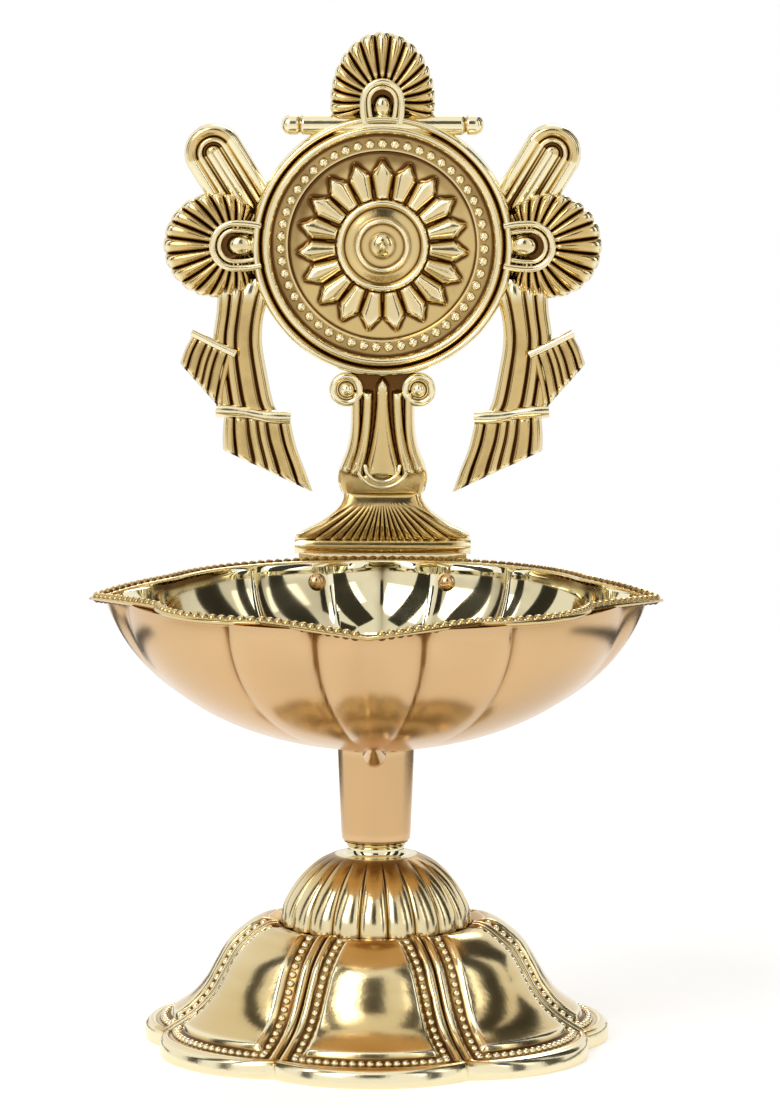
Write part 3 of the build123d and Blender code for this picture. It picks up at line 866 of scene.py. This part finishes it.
@dataclass
class OilBowl:
    """Bowl with keels, lobes, three pointed wick spouts and a beaded rim, satin outside and mirror inside.

    A row of the lip holds its inset from the rim's edge, its level and its tarnish. The nose is the drop under
    the front keel, by distance from the axis and height, and its girth goes by the share of its length.
    """

    rim_height: float = 72.7
    radius: float = 40.2
    depth: float = 24.8
    wall: float = 2.0
    base_radius: float = 8.0
    groove: float = 0.9
    keel_rise: float = 1.3
    keel_taper: float = 1.5
    keel_half_width: float = 8.8
    keel_point: float = 0.6
    tongue: float = 0.9
    narrow_lobe: float = 1 / 3
    lip_radius: float = 41.4
    lip_drop: float = 0.5
    spout_radius: float = 46.0
    spout_flare: float = 2.0
    spout_pinch: float = 2.6
    spout_angle: float = 27.0
    droop: float = 0.9
    well_sag: float = 0.8
    pad_half: float = 14.0
    pad_back: float = 41.7
    pad_base: float = 63.5
    pad_top: float = 71.9
    bead_radius: float = 0.86
    bead_gap: float = 1.62
    bead_inset: float = 1.05
    bead_stain: float = 1.3
    columns: int = 540
    rows: int = 56
    lip: tuple[tuple[float, float, float], ...] = (
        (1.3, -0.75, 0.9), (0.6, -0.7, 0.9), (0.15, -0.45, 0.9), (0.0, -0.15, 0.9), (0.2, 0.15, 0.9),
        (0.8, 0.36, 0.9), (1.7, 0.42, 0.8), (2.2, 0.3, 0.6), (2.4, 0.0, 0.3),
    )
    nose: Line = ((16.5, 50.6), (13.2, 49.4), (10.6, 48.3), (8.8, 47.2), (7.6, 45.9))
    nose_girth: Line = ((0, 0.3), (0.25, 1.25), (0.5, 1.9), (0.8, 1.4), (1, 0.2))

    def rim(self, turn: Array, inset: float) -> tuple[Array, Array]:
        """Plan radius of the rim, and how much of a spout each place is.

        Between spouts the rim bulges as a parabola. In a spout it runs to the tip with the power 1.5 of the
        share left, so that the flanks are hollow.

        Args:
            turn: azimuth in degrees.
            inset: distance inside the rim's outer edge.

        Returns:
            Radius, and a share that is 1 on a spout's tip and 0 outside spouts.
        """
        signed = (turn + 180) % 360 - 180
        away = np.min(np.abs(signed[..., None] - np.array((-90.0, 0.0, 90.0))), -1)
        point = np.clip(1 - away / self.spout_angle, 0, 1)
        pinch = self.lip_radius - self.spout_pinch
        lobe = (np.abs(signed) - 45) / (45 - self.spout_angle)
        back = (180 - np.abs(signed)) / (90 - self.spout_angle)
        bulge = self.lip_radius - self.spout_pinch * np.where(np.abs(signed) < 90, lobe**2, back**2)
        spout = pinch + (self.spout_radius - pinch) * point**1.5
        return np.where(point > 0, spout, bulge) - inset, point

    def wall_grid(self, radius: float, depth: float, rise: Array, turn: Array) -> Array:
        """Wall between floor and rim: a quarter ellipse with keels and lobes.

        A keel is a roof that gets wider upwards, and lobes bulge between grooves with the power 5 of the share.
        The keel in front is rounder and stands further out, and those at the sides fade into the wall.

        Args:
            radius: radius at the rim.
            depth: depth from the rim to the ellipse's lowest point.
            rise: column of shares of the way up.
            turn: row of azimuths in degrees.

        Returns:
            Grid of points.
        """
        start = math.asin(self.base_radius / radius)
        angle = start + (QUARTER - start) * rise
        crest = radius * np.sin(angle)
        share = np.clip(crest - self.base_radius, 0, None) / (radius - self.base_radius)
        share = share**self.keel_taper
        edge = np.degrees((self.keel_point + (self.keel_half_width - self.keel_point) * share) / crest)
        quarter = np.floor(turn / 90)
        within = turn - 90 * quarter
        even = quarter % 2 == 0
        split = np.where(even, self.narrow_lobe, 1 - self.narrow_lobe)
        part = (within - edge) / (90 - 2 * edge)
        lobe = np.clip(np.where(part < split, part / split, (part - split) / (1 - split)), 0, 1)
        plain = np.where(even, (part >= split) & (lobe > 0.5), (part < split) & (lobe < 0.5))
        bulge = -self.groove * share * np.abs(2 * lobe - 1) ** 5 * (1 - plain)
        away = np.abs((turn + 180) % 360 - 180)
        ahead, behind = away <= 45, away >= 135
        beside = ~(ahead | behind)
        cut = self.groove * share * ~beside
        lift = self.keel_rise * share + cut + self.spout_flare * rise**5 * ~behind
        lift = lift + self.tongue * ahead * share**0.5
        across = np.minimum(within, 90 - within) / edge
        inward = np.clip(across, 0, 1)
        roof = 1 - inward ** (1.25 + 0.4 * ahead)
        keel = -cut + lift * np.where(beside, (1 - inward**2) ** 2, roof)
        plan = crest + np.where(across < 1, keel, bulge)
        height = self.rim_height - self.lip_drop - (depth - self.lip_drop) * np.cos(angle)
        return around(plan, np.radians(turn), height)

    def build(self) -> None:
        """Makes the bowl as one closed skin, then its rim beads, nose and pad."""
        piece = Casting("bowl_cast")
        turn = np.linspace(0, 360, self.columns, endpoint=False)[None]
        rise = np.linspace(0, 1, self.rows)[:, None]
        outer = self.wall_grid(self.radius, self.depth, rise, turn)
        inner = self.wall_grid(self.radius - self.wall, self.depth - self.wall, rise[::-1], turn)
        lip = np.concatenate([self.lip_row(turn, inset, level) for inset, level, _ in self.lip])
        base = outer[0, 0, 2]
        under = lathe(np.array([(0.0, base), (self.base_radius * 0.5, base)]), self.columns)
        inward = np.linspace(0.85, 0, 8)
        sag = inner[-1, 0, 2] - self.well_sag * (1 - inward**2)
        well = lathe(np.stack((self.base_radius * inward, sag), -1), self.columns)
        skin = np.concatenate((under, outer, lip, inner, well))
        first = len(under) + len(outer)
        coat = np.repeat((0, 2, 1), (first, len(lip) - 1, len(skin) - first - len(lip) + 1))
        up = rise[:, 0]
        stain = np.concatenate((
            np.full(len(under), 0.2),
            0.25 * ease(0.92, 1.0, up) + 0.1 * ease(0.25, 0.0, up) - 0.15,
            [row[2] for row in self.lip],
            np.full(len(inner), -0.1),
            np.full(len(well), -0.6),
        ))[:, None]
        piece.add(skin, stain, coat=coat)
        # The very tip of the front spout has no bead
        path = self.lip_row(np.linspace(2.6, 357.4, 1400)[None], self.bead_inset, 0.05)[0]
        places = spaced(path, self.bead_gap)
        outward = unit(places * (1.0, 1.0, 0.0)) * 0.55 + (0.0, 0.0, 0.83)
        piece.add_beads(places, outward, self.bead_radius, self.bead_stain, coat=2)
        nose = fade(self.nose, 24)
        girth = np.interp(np.linspace(0, 1, len(nose)), *np.transpose(self.nose_girth))
        piece.add(tube(around(nose[:, 0], 0.0, nose[:, 1]), girth, 24), -0.3)
        piece.add(self.pad(), 0.2)
        piece.pour([Finish.SATIN, Finish.MIRROR, Finish.CAST], "upper", "satin_brass", "bowl")

    def lip_row(self, turn: Array, inset: float, level: float) -> Array:
        """One row of the rolled lip, lower at the spouts' tips.

        Args:
            turn: azimuths in degrees.
            inset: distance inside the rim's outer edge.
            level: height above the rim's middle.

        Returns:
            Row of points.
        """
        plan, point = self.rim(turn, inset)
        height = self.rim_height + level * (1 - 0.35 * point) - self.droop * point**2
        return around(plan, np.radians(turn), height)

    def pad(self) -> Array:
        """Pad behind the bowl: a rounded rectangle carried from the middle of the wall back to the plate.

        Returns:
            Grid with a pole at each end.
        """
        turn = full_turn(96)
        right, high = (np.sign(wave) * np.abs(wave) ** 0.2 for wave in (np.cos(turn), np.sin(turn)))
        across = self.pad_half * right
        height = (self.pad_top + self.pad_base) / 2 + (self.pad_top - self.pad_base) / 2 * high
        share = np.clip((self.rim_height - height) / (self.depth - 1), 0, 1)
        middle_wall = (self.radius - 0.2) * np.sqrt(1 - share**2)
        front = np.sqrt(np.clip(middle_wall**2 - across**2, 1, None))
        along = front + np.linspace(0, 1, 6)[:, None] * (self.pad_back - front)
        grid = capped(np.stack(np.broadcast_arrays(across, along, height), -1))
        grid[0, :, 1] = self.radius + 0.4
        return grid


@dataclass
class PlateScrews:
    """Two round-headed screws whose heads show on the inside of the rear wall."""

    spread: float = 10.9
    height: float = 69.5
    seat: float = 37.1
    end: float = 45.05
    shank: float = 1.3
    head: float = 1.8
    head_rise: float = 1.75
    bevel: float = 0.2

    def build(self) -> None:
        """Makes both screws: a profile turned about an axis along Y."""
        piece = Casting("plate_screws_turned")
        dome = np.linspace(0, QUARTER, 12)
        under = self.seat + self.bevel
        profile = np.concatenate((
            np.stack((self.head * np.sin(dome), self.seat - self.head_rise * np.cos(dome)), -1),
            [(self.head, under), (self.shank, under), (self.shank, self.end - self.bevel)],
            [(self.shank - self.bevel, self.end), (0.0, self.end)],
        ))
        turned = lathe(profile, 40)
        for side in (-1, 1):
            piece.add(turned[..., (0, 2, 1)] + (side * self.spread, 0.0, self.height), 0.1)
        piece.pour([Finish.SATIN], "upper", "turned_brass", "plate_screws")


# Back plate

@dataclass
class ReliefPlate:
    """Cast back plate: wheel, shells, loops, crossbar, streamers, neck and fan, with a plain back.

    The wheel petal's shape holds its half width by the share of its length.
    """

    front: float = 41.7
    back: float = 45.1
    disc_z: float = 125.35
    disc_radius: float = 21.85
    wheel_petals: int = 19
    petal_start: float = 7.6
    petal_length: float = 7.0
    petal_height: float = 1.55
    petal_shape: Line = ((0, 0), (0.03, 1.14), (0.6, 1.84), (0.7, 1.6), (0.8, 0.9), (0.88, 0.6), (1, 0.02))
    wheel_beads: int = 51
    bead_line: float = 16.9
    bead_radius: float = 0.88
    bead_lift: float = 0.85
    shell_x: float = 27.7
    shell_half: tuple[float, float] = (8.7, 8.7)
    shell_flutes: int = 26
    niche_offset: float = 3.2
    niche_size: float = 1.16
    top_shell_z: float = 149.15
    top_shell_half: tuple[float, float] = (8.7, 11.6)
    top_niche_offset: float = -0.2
    crossbar_z: float = 145.35
    crossbar_half: float = 16.8
    crossbar_radius: float = 1.7
    crossbar_groove: float = 3.1
    loop_place: tuple[float, float] = (25.3, 136.1)
    loop_size: tuple[float, float] = (20.3, 9.6)
    loop_lean: float = 31.0
    loop_rows: int = 36
    volute: tuple[float, float] = (6.0, 101.35)
    band_half: float = 14.7
    band_base: float = 73.75
    fan_base: float = 76.15
    fan_centre: float = 85.0
    fan_ribs: float = 8.2
    tang_half: float = 14.0
    tang_base: float = 63.45

    def at(self, across: Array, height: Array, lift: Array) -> Array:
        """Points of the relief: x, the lift towards the front of the plate's face, and z."""
        across, height, lift = np.broadcast_arrays(across, height, lift)
        return np.stack((across, self.front - lift, height), -1)

    def about(self, centre: tuple[float, float], radius: Array, turn: Array, lift: Array) -> Array:
        """Points of the relief at a radius and an angle from +Z about a centre, which is given as x and z."""
        return self.at(centre[0] + radius * np.sin(turn), centre[1] + radius * np.cos(turn), lift)

    def boss(self, centre: Array, along: Array, across: Array, rise: float, sides: int) -> Array:
        """Half of an ellipsoid on the plate's face.

        Args:
            centre: x and z of its middle.
            along: x and z of one half axis.
            across: x and z of the other half axis.
            rise: height above its foot.
            sides: points round it.

        Returns:
            Grid from its top to its foot.
        """
        tilt = np.linspace(0, QUARTER, 9)[:, None]
        spin = full_turn(sides)[:, None]
        flat = centre + np.sin(tilt)[..., None] * (np.cos(spin) * along + np.sin(spin) * across)
        return self.at(flat[..., 0], flat[..., 1], 0.1 + rise * np.cos(tilt))

    def slab(self, left: Array, right: Array, lift: Array, shallow: float) -> Array:
        """Closed slab between two edge lines, ruled across, with a raised front and a flat back.

        Args:
            left: array of n by 2 of (x, z).
            right: array of n by 2 of (x, z).
            lift: n by m heights of the front above the plate's face.
            shallow: how far the back stays in front of the plate's back.

        Returns:
            Grid with a pole at each end.
        """
        share = np.linspace(0, 1, lift.shape[1])[:, None]
        flat = left[:, None] + share * (right - left)[:, None]
        face = self.at(flat[..., 0], flat[..., 1], lift)
        behind = face[:, ::-4].copy()
        behind[..., 1] = self.back - shallow
        return capped(np.concatenate((face, behind), 1))

    def whole(self, stain: Array) -> Array:
        """Adds the even tarnish of a slab's poles and back to that of its front."""
        return np.pad(stain, ((1, 1), (0, -(-stain.shape[1] // 4))), constant_values=BACK_STAIN)

    def rounding(self, rows: int, columns: int, drop: float) -> Array:
        """Drop of a slab's front towards its edges, with high powers of the share from the middle."""
        row = np.abs(np.linspace(-1, 1, rows))[:, None] ** 14
        return -drop * np.maximum(row, np.abs(np.linspace(-1, 1, columns))[None] ** 9)

    def build(self) -> None:
        """Makes the four castings that form the plate."""
        self.wheel()
        self.shells()
        self.ribbons()
        self.pedestal()

    def wheel(self) -> None:
        """Wheel: mouldings, hub and dish are rings of one turned section, and petals rise from the dish."""
        piece = Casting("wheel_cast", plain_back=True)
        centre, border = (0.0, self.disc_z), self.disc_radius
        turn = full_turn(self.wheel_petals * 22)[None]
        steps = ((0, 4.9, 26), (5.0, 7.7, 18), (7.8, 14.4, 44), (14.6, border, 56))
        radius = np.concatenate([np.linspace(*step) for step in steps])[:, None]
        rim = np.maximum.reduce((
            2.2 * roll(radius - border + 0.8, 0.8),
            2.0 * roll(radius - border + 2.55, 0.95),
            0.75 * ease(15.5, 15.8, radius) * ease(border, border - 0.3, radius),
        ))
        hub = np.maximum.reduce((
            1.4 * roll(radius - 7.1, 0.75),
            1.45 * roll(radius - 4.1, 0.62),
            0.45 * ease(7.9, 7.6, radius) + 0.45 * ease(6.7, 4.4, radius),
            1.9 * roll(radius, 2.4) + 0.5 * roll(radius, 0.6),
        ))
        reach = (radius - self.petal_start) / self.petal_length
        wide = np.maximum(np.interp(reach, *np.transpose(self.petal_shape)), 1e-3)
        away = turn * self.wheel_petals / TURN
        away = (away - np.round(away)) * TURN / self.wheel_petals * radius
        ends = ease(0, 0.06, reach) * ease(1.02, 0.8, reach) * ((reach > 0) & (reach < 1))
        petal = self.petal_height * np.clip(1 - np.abs(away / wide) ** 1.9, 0, 1) ** 0.6 * ends
        dish = -0.3 * ease(16.0, 13.0, radius)
        lift = np.maximum(np.maximum(rim, hub), np.maximum(petal, dish))
        deep = self.front - self.back
        edge = np.array([(border, -0.3), (border, deep + 0.5), (0.985 * border, deep), (0.0, deep)])
        face = self.about(centre, radius, turn, lift)
        behind = self.about(centre, edge[:, :1], turn, edge[:, 1:])
        # Painted shade: the upper left of the dish's outer wall is darkened as if in shade. The other terms
        # darken the low places, the bead channel and the outer edge.
        painted_dish_shade = ease(-0.3, 0.8, np.cos(turn + 0.4)) * ease(12.5, 14.4, radius) * ease(15.9, 15.6, radius)
        stain = 0.15 * (lift < 0.25) + 0.5 * painted_dish_shade + 0.4 * ease(border - 0.5, border, radius) - 0.12
        stain = stain + 0.55 * ease(15.6, 15.9, radius) * ease(18.6, 18.2, radius)
        stain = np.concatenate((stain, np.full((len(edge), turn.size), BACK_STAIN)))
        piece.add(np.concatenate((face, behind)), stain)
        places = self.about(centre, self.bead_line, full_turn(self.wheel_beads), self.bead_lift)
        piece.add_beads(places, np.tile((0.0, -1.0, 0.0), (len(places), 1)), self.bead_radius)
        piece.pour([Finish.CAST, Finish.BACK], "upper", "cast_brass", "chakra_plate")

    def shell(
        self,
        piece: Casting,
        centre: tuple[float, float],
        half: tuple[float, float],
        outward: float,
        offset: float,
        size: float,
    ) -> None:
        """One shell: rays from a niche near its inner edge run to an ellipse, with round flutes on the rays.

        Args:
            piece: casting that gets it.
            centre: middle of the ellipse, x and z.
            half: half width and half height of the ellipse.
            outward: direction in degrees from +X in which the shell points.
            offset: how far the niche lies behind the middle.
            size: scale of the niche.
        """
        lean = math.radians(outward)
        toward = np.array((math.cos(lean), math.sin(lean)))
        side = np.array((-toward[1], toward[0]))
        start = np.asarray(centre) - toward * offset
        turn = full_turn(self.shell_flutes * 16)[None]
        ray = np.stack((np.cos(turn + lean), np.sin(turn + lean)), -1) / half
        off = (start - centre) / half
        a, b, c = (ray**2).sum(-1), (ray * off).sum(-1), (off**2).sum() - 1
        flute = ripple(turn * self.shell_flutes / TURN)
        share = np.linspace(0, 1, 40)[:, None]
        reach = (-b + np.sqrt(b**2 - a * c)) / a * (1 - 0.035 * (1 - flute) * share**2)
        dome = 1.9 * np.sqrt(1 - 0.97 * np.clip((share - 0.42) / 0.58, 0, 1) ** 2.6) * ease(0.2, 0.42, share)
        inward = ease(1.75, 2.2, np.minimum(turn, TURN - turn))
        lift = 0.3 + dome + 1.25 * (flute - 1) * ease(0.22, 0.4, share) - 2.8 * inward * ease(0.1, 0.4, share)
        bend = turn + lean + 0.22 * np.sin(turn) * share * (1 - share)
        face = self.at(start[0] + share * reach * np.cos(bend), start[1] + share * reach * np.sin(bend), lift)
        wall = np.repeat(face[-1:], 2, 0)
        wall[0, :, 1] = self.front + 0.9
        wall[1, :, 1] = self.back - 0.06
        pole = np.tile((start[0], self.back - 0.06, start[1]), (1, turn.size, 1))
        stain = 0.45 * ease(0.6, 0.15, share) + 0.8 * (1 - flute) + 0.3
        stain = np.concatenate((stain, np.full((3, turn.size), BACK_STAIN)))
        piece.add(np.concatenate((face, wall, pole)), stain)
        bow = np.linspace(-QUARTER - 0.5, QUARTER + 0.5, 40)[:, None]
        long = np.where(np.abs(bow) > QUARTER, 2.4, 1.0)
        for wide, thick, high in ((3.25, 0.6, 1.75), (2.25, 0.38, 1.6)):
            flat = start + wide * size * (np.cos(bow) * long * toward + np.sin(bow) * side)
            piece.add(tube(self.at(flat[:, 0], flat[:, 1], high), thick, 10), 0.4)
        knob = self.boss(start - 0.9 * toward, 2.0 * size * toward, 1.7 * size * side, 1.6, 28)
        piece.add(capped(knob)[1:], 0.35)

    def shells(self) -> None:
        """Shells at the top and both sides."""
        piece = Casting("shells_cast", plain_back=True)
        self.shell(piece, (0.0, self.top_shell_z), self.top_shell_half, 90, self.top_niche_offset, 1.0)
        for x, outward in ((self.shell_x, 0), (-self.shell_x, 180)):
            self.shell(piece, (x, self.disc_z), self.shell_half, outward, self.niche_offset, self.niche_size)
        piece.pour([Finish.CAST, Finish.BACK], "upper", "cast_brass")

    def loop(self, piece: Casting, side: int) -> None:
        """Ribbon loop: round ridges that follow a leaning stadium, as a function of the inset from its edge.

        Args:
            piece: casting that gets it.
            side: 1 for the right loop, -1 for the left.
        """
        rows, half = self.loop_rows, self.loop_size[1] / 2
        straight = self.loop_size[0] / 2 - half
        turn = full_turn(128)[None] + TURN / 256
        inset = np.concatenate((np.linspace(0, half, rows), (half, half * 0.5, 0.0)))[:, None]
        across = (half - inset) * np.cos(turn)
        along = (half - inset) * np.sin(turn) + straight * np.sign(np.sin(turn))
        ridges = np.maximum.reduce((
            1.5 * roll(inset - 1.05, 1.1),
            1.2 * roll(inset - 2.55, 0.6),
            1.1 * roll(inset - 4.3, 0.85),
            0 * inset + 0.1,
        ))
        sink = 2.2 * ease(0.5, -6.5, along)
        lift = np.where(np.arange(len(inset))[:, None] < rows, ridges - sink, self.front - self.back + 0.1)
        lean = math.radians(self.loop_lean) * side
        x = side * self.loop_place[0] + across * math.cos(lean) + along * math.sin(lean)
        z = self.loop_place[1] - across * math.sin(lean) + along * math.cos(lean)
        grid = self.at(x, z, lift)
        crease = 0.6 * (ridges[:rows] < 0.6) + 0.25 * ease(0.5, 0.0, inset[:rows]) + 0.12
        stain = np.concatenate((crease, np.full((4, 1), BACK_STAIN)))
        piece.add(np.concatenate((grid, grid[:1])), stain)

    def pleats(self, rows: int, folds: int, depth: float) -> tuple[Array, Array]:
        """Pleated cloth: round folds of uneven width side by side, deeper towards the hem.

        Args:
            rows: points along the cloth.
            folds: how many folds lie side by side.
            depth: height of a fold.

        Returns:
            Heights, and the tarnish in the creases for the whole slab.
        """
        even = np.linspace(0, folds, folds * 14)[None]
        across = even + 0.16 * np.sin(2.1 * even) * np.sin(np.pi * even / folds)
        fold = ripple(across - 0.5)
        grow = np.linspace(0.65, 1, rows)[:, None]
        lift = 0.35 + depth * grow * fold + self.rounding(rows, across.size, 0.7)
        return lift, self.whole(0.22 + 0.8 * (1 - fold) + 0 * grow)

    def streamer(self, piece: Casting, side: int) -> None:
        """Pleated ribbon that hangs from a side shell: drape, folded flap and flared tail, hem and rolled band.

        Args:
            piece: casting that gets it.
            side: 1 for the right streamer, -1 for the left.
        """
        turned = np.array((side, 1.0))
        drape = (
            ((18.4, 119.0), (19.8, 113.5), (20.1, 109.5), (19.5, 105.2), (18.2, 99.0), (16.8, 97.0)),
            ((27.4, 119.0), (27.6, 114.5), (28.2, 110.0), (28.2, 105.5), (27.6, 100.0), (27.2, 97.2)),
        )
        flap = (
            ((24.6, 107.6), (25.7, 103.5), (26.7, 97.8)),
            ((31.4, 110.7), (32.8, 108.2), (33.7, 105.7)),
        )
        tail = (
            ((15.6, 97.0), (14.5, 92.0), (12.9, 87.6), (11.7, 84.2)),
            ((26.4, 97.0), (26.6, 95.0), (26.7, 93.0), (26.6, 91.2)),
        )
        hem = fade(((24.4, 107.3), (28.0, 109.0), (31.7, 110.9)), 20) * turned
        hem = tube(self.at(hem[:, 0], hem[:, 1], 1.35), 0.7, 12)
        band = fade(((15.3, 96.7), (19.5, 96.9), (23.5, 97.6), (27.7, 97.9)), 30) * turned
        band = tube(self.at(band[:, 0], band[:, 1], 1.15), 1.05 + 0.12 * np.sin(np.linspace(0, 9, 30)), 14)
        for edges, rows, folds, depth, raised, darker, shallow, trims in (
            (drape, 40, 4, 1.15, 0.0, 0.0, 0.1, ()),
            (flap, 30, 6, 0.9, 0.6, 0.12, 0.12, (hem,)),
            (tail, 40, 6, 1.15, 0.0, 0.0, 0.14, (band,)),
        ):
            lift, stain = self.pleats(rows, folds, depth)
            inner, outer = (fade(edge, rows) * turned for edge in edges)
            piece.add(self.slab(inner, outer, lift + raised, shallow), stain + darker)
            for trim in trims:
                piece.add(trim)

    def ribbons(self) -> None:
        """Loops, streamers and the crossbar, which is a turned rod with a groove near each end."""
        piece = Casting("ribbons_cast", plain_back=True)
        for side in (-1, 1):
            self.loop(piece, side)
            self.streamer(piece, side)
        bar = np.linspace(-1, 1, 180) * (self.crossbar_half - 0.1)
        end = self.crossbar_half - np.abs(bar)
        tip = np.sqrt(np.clip(1 - (1 - np.clip(end / 1.5, 0, 1)) ** 2, 0.01, 1))
        girth = self.crossbar_radius * tip - 0.4 * swell(end - self.crossbar_groove, 0.5)
        stain = 0.3 + 0.5 * swell(np.pad(end, 1) - self.crossbar_groove, 0.6)
        piece.add(tube(self.at(bar, self.crossbar_z, 0.0), girth, 18), stain[:, None])
        piece.pour([Finish.CAST, Finish.BACK], "upper", "cast_brass")

    def pedestal(self) -> None:
        """Neck with volutes, ribbed fan, plain band and tang."""
        piece = Casting("pedestal_cast", plain_back=True)
        self.neck(piece)
        for side in (-1, 1):
            self.add_volute(piece, (side * self.volute[0], self.volute[1]))
        self.fan(piece)
        upright = np.linspace(self.band_base, self.fan_base + 0.15, 20)
        edge = np.stack((np.full(20, self.band_half), upright), -1)
        lift = 0.25 + 0.65 * np.sin(np.linspace(0.1, 3.04, 20))[:, None] + self.rounding(20, 60, 0.7)
        piece.add(self.slab(edge * (-1, 1), edge, lift, 0.01), 0.3)
        upright = np.linspace(self.tang_base, self.band_base + 0.5, 30)
        edge = np.stack((self.tang_half - 0.8 * (1 - ease(0, 1.2, upright - self.tang_base)), upright), -1)
        piece.add(self.slab(edge * (-1, 1), edge, self.rounding(30, 40, 0.3), 0.25), 0.2)
        piece.pour([Finish.CAST, Finish.BACK], "upper", "cast_brass")

    def neck(self, piece: Casting) -> None:
        """Neck: half-round ribs that part downwards and end on a swelling with three bowed leaf lines.

        Args:
            piece: casting that gets it.
        """
        edge = fade((
            (5.3, 106.0), (5.4, 102.0), (5.3, 98.5), (5.4, 94.5), (6.0, 91.3), (7.1, 88.4), (7.45, 86.2),
            (7.0, 84.5), (6.3, 83.4),
        ), 90)
        across = np.abs(np.linspace(-1, 1, 110))[None]
        height = edge[:, 1:]
        down = ease(101.0, 87.0, height)
        middle = 1.6 * roll(across, 0.2 + 0.2 * down)
        beside = 1.45 * roll(across - 0.46 - 0.13 * down, 0.16)
        border = 1.3 * roll(across - 0.84, 0.16)
        crown = np.where(across < 0.3, 103.2 - 6.0 * across, 100.9)
        raised = ease(crown + 0.5, crown - 0.4, height)
        hang = 1.2 * (1 - across**2)
        leaf = ease(88.6 - hang, 87.6 - hang, height)
        ribs = np.maximum(np.maximum(middle, beside), border) * raised * (1 - leaf)
        lift = 0.1 + ribs + 1.1 * leaf * np.sqrt(1 - 0.9 * across**2) + self.rounding(90, 110, 0.8)
        sunk = 0.8 * (1 - raised) + 0.45 * (ribs < 0.5) * (1 - leaf) + 0.3 * leaf
        piece.add(self.slab(edge * (-1, 1), edge, lift, 0.03), self.whole(sunk))
        bow = np.linspace(-1, 1, 30)
        for wide in (1.5, 2.9, 4.3):
            rise = 88.0 - 0.95 * wide * roll(bow, 1) + 0.25 * wide
            piece.add(tube(self.at(wide * bow, rise, 1.15), 0.34, 10), 0.05)

    def add_volute(self, piece: Casting, centre: tuple[float, float]) -> None:
        """Volute: a round ring about an eye, on a disc.

        Args:
            piece: casting that gets it.
            centre: x and z of its middle.
        """
        spin = QUARTER - full_turn(40)
        piece.add(tube(self.about(centre, 2.25, spin, 0.6), 0.62, 12, closed=True), 0.05, ring=True)
        eye = self.boss(np.array(centre), np.array((1.45, 0.0)), np.array((0.0, 1.45)), 1.7, spin.size)
        disc = self.about(centre, 2.7, spin[None], np.array([[0.1], [-3.3]]))
        stain = np.concatenate((np.linspace(-0.3, 0.7, len(eye)), (0.7, 0.3, 0.3)))[:, None]
        piece.add(capped(np.concatenate((eye, disc)))[1:], stain)

    def fan(self, piece: Casting) -> None:
        """Fan: a hollow-sided foot whose round ribs spread from a point above it.

        Args:
            piece: casting that gets it.
        """
        edge = fade((
            (6.3, 84.3), (6.7, 82.6), (8.0, 80.9), (10.2, 79.2), (12.6, 77.9), (14.4, 76.9), (14.7, 76.1)
        ), 60)
        across = np.linspace(-1, 1, 260)[None]
        fold = ripple(np.arctan2(across * edge[:, :1], self.fan_centre - edge[:, 1:]) * self.fan_ribs)
        down = np.linspace(0, 1, 60)[:, None]
        fanned = ease(0.15, 0.45, down) * ease(0.97, 0.9, np.abs(across))
        lift = 0.8 + 1.0 * np.sin(np.pi * down**0.8) + 0.65 * (fold - 1) * fanned + self.rounding(60, 260, 0.9)
        stain = 0.33 + 0.5 * (1 - fold) * fanned - 0.4 * ease(0.9, 0.97, np.abs(across))
        piece.add(self.slab(edge * (-1, 1), edge, lift, 0.02), self.whole(stain))


def dress_hidden() -> None:
    """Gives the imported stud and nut, which at rest only show from below, their zinc finish."""
    for name in ("stud", "foot_nut"):
        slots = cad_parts[name].data.materials
        slots.clear()
        slots.append(Finish.ZINC.value.material)
        log.info("%s: packed node with a zinc finish", name)


def main() -> None:
    """Builds the studio and the lamp."""
    logging.basicConfig(level=logging.INFO, format="%(name)s: %(message)s")
    Studio().build()
    for part in (PetalFoot(), FlutedDome(), Column(), OilBowl(), PlateScrews(), ReliefPlate()):
        part.build()
    dress_hidden()


if __name__ == "__main__":
    main()
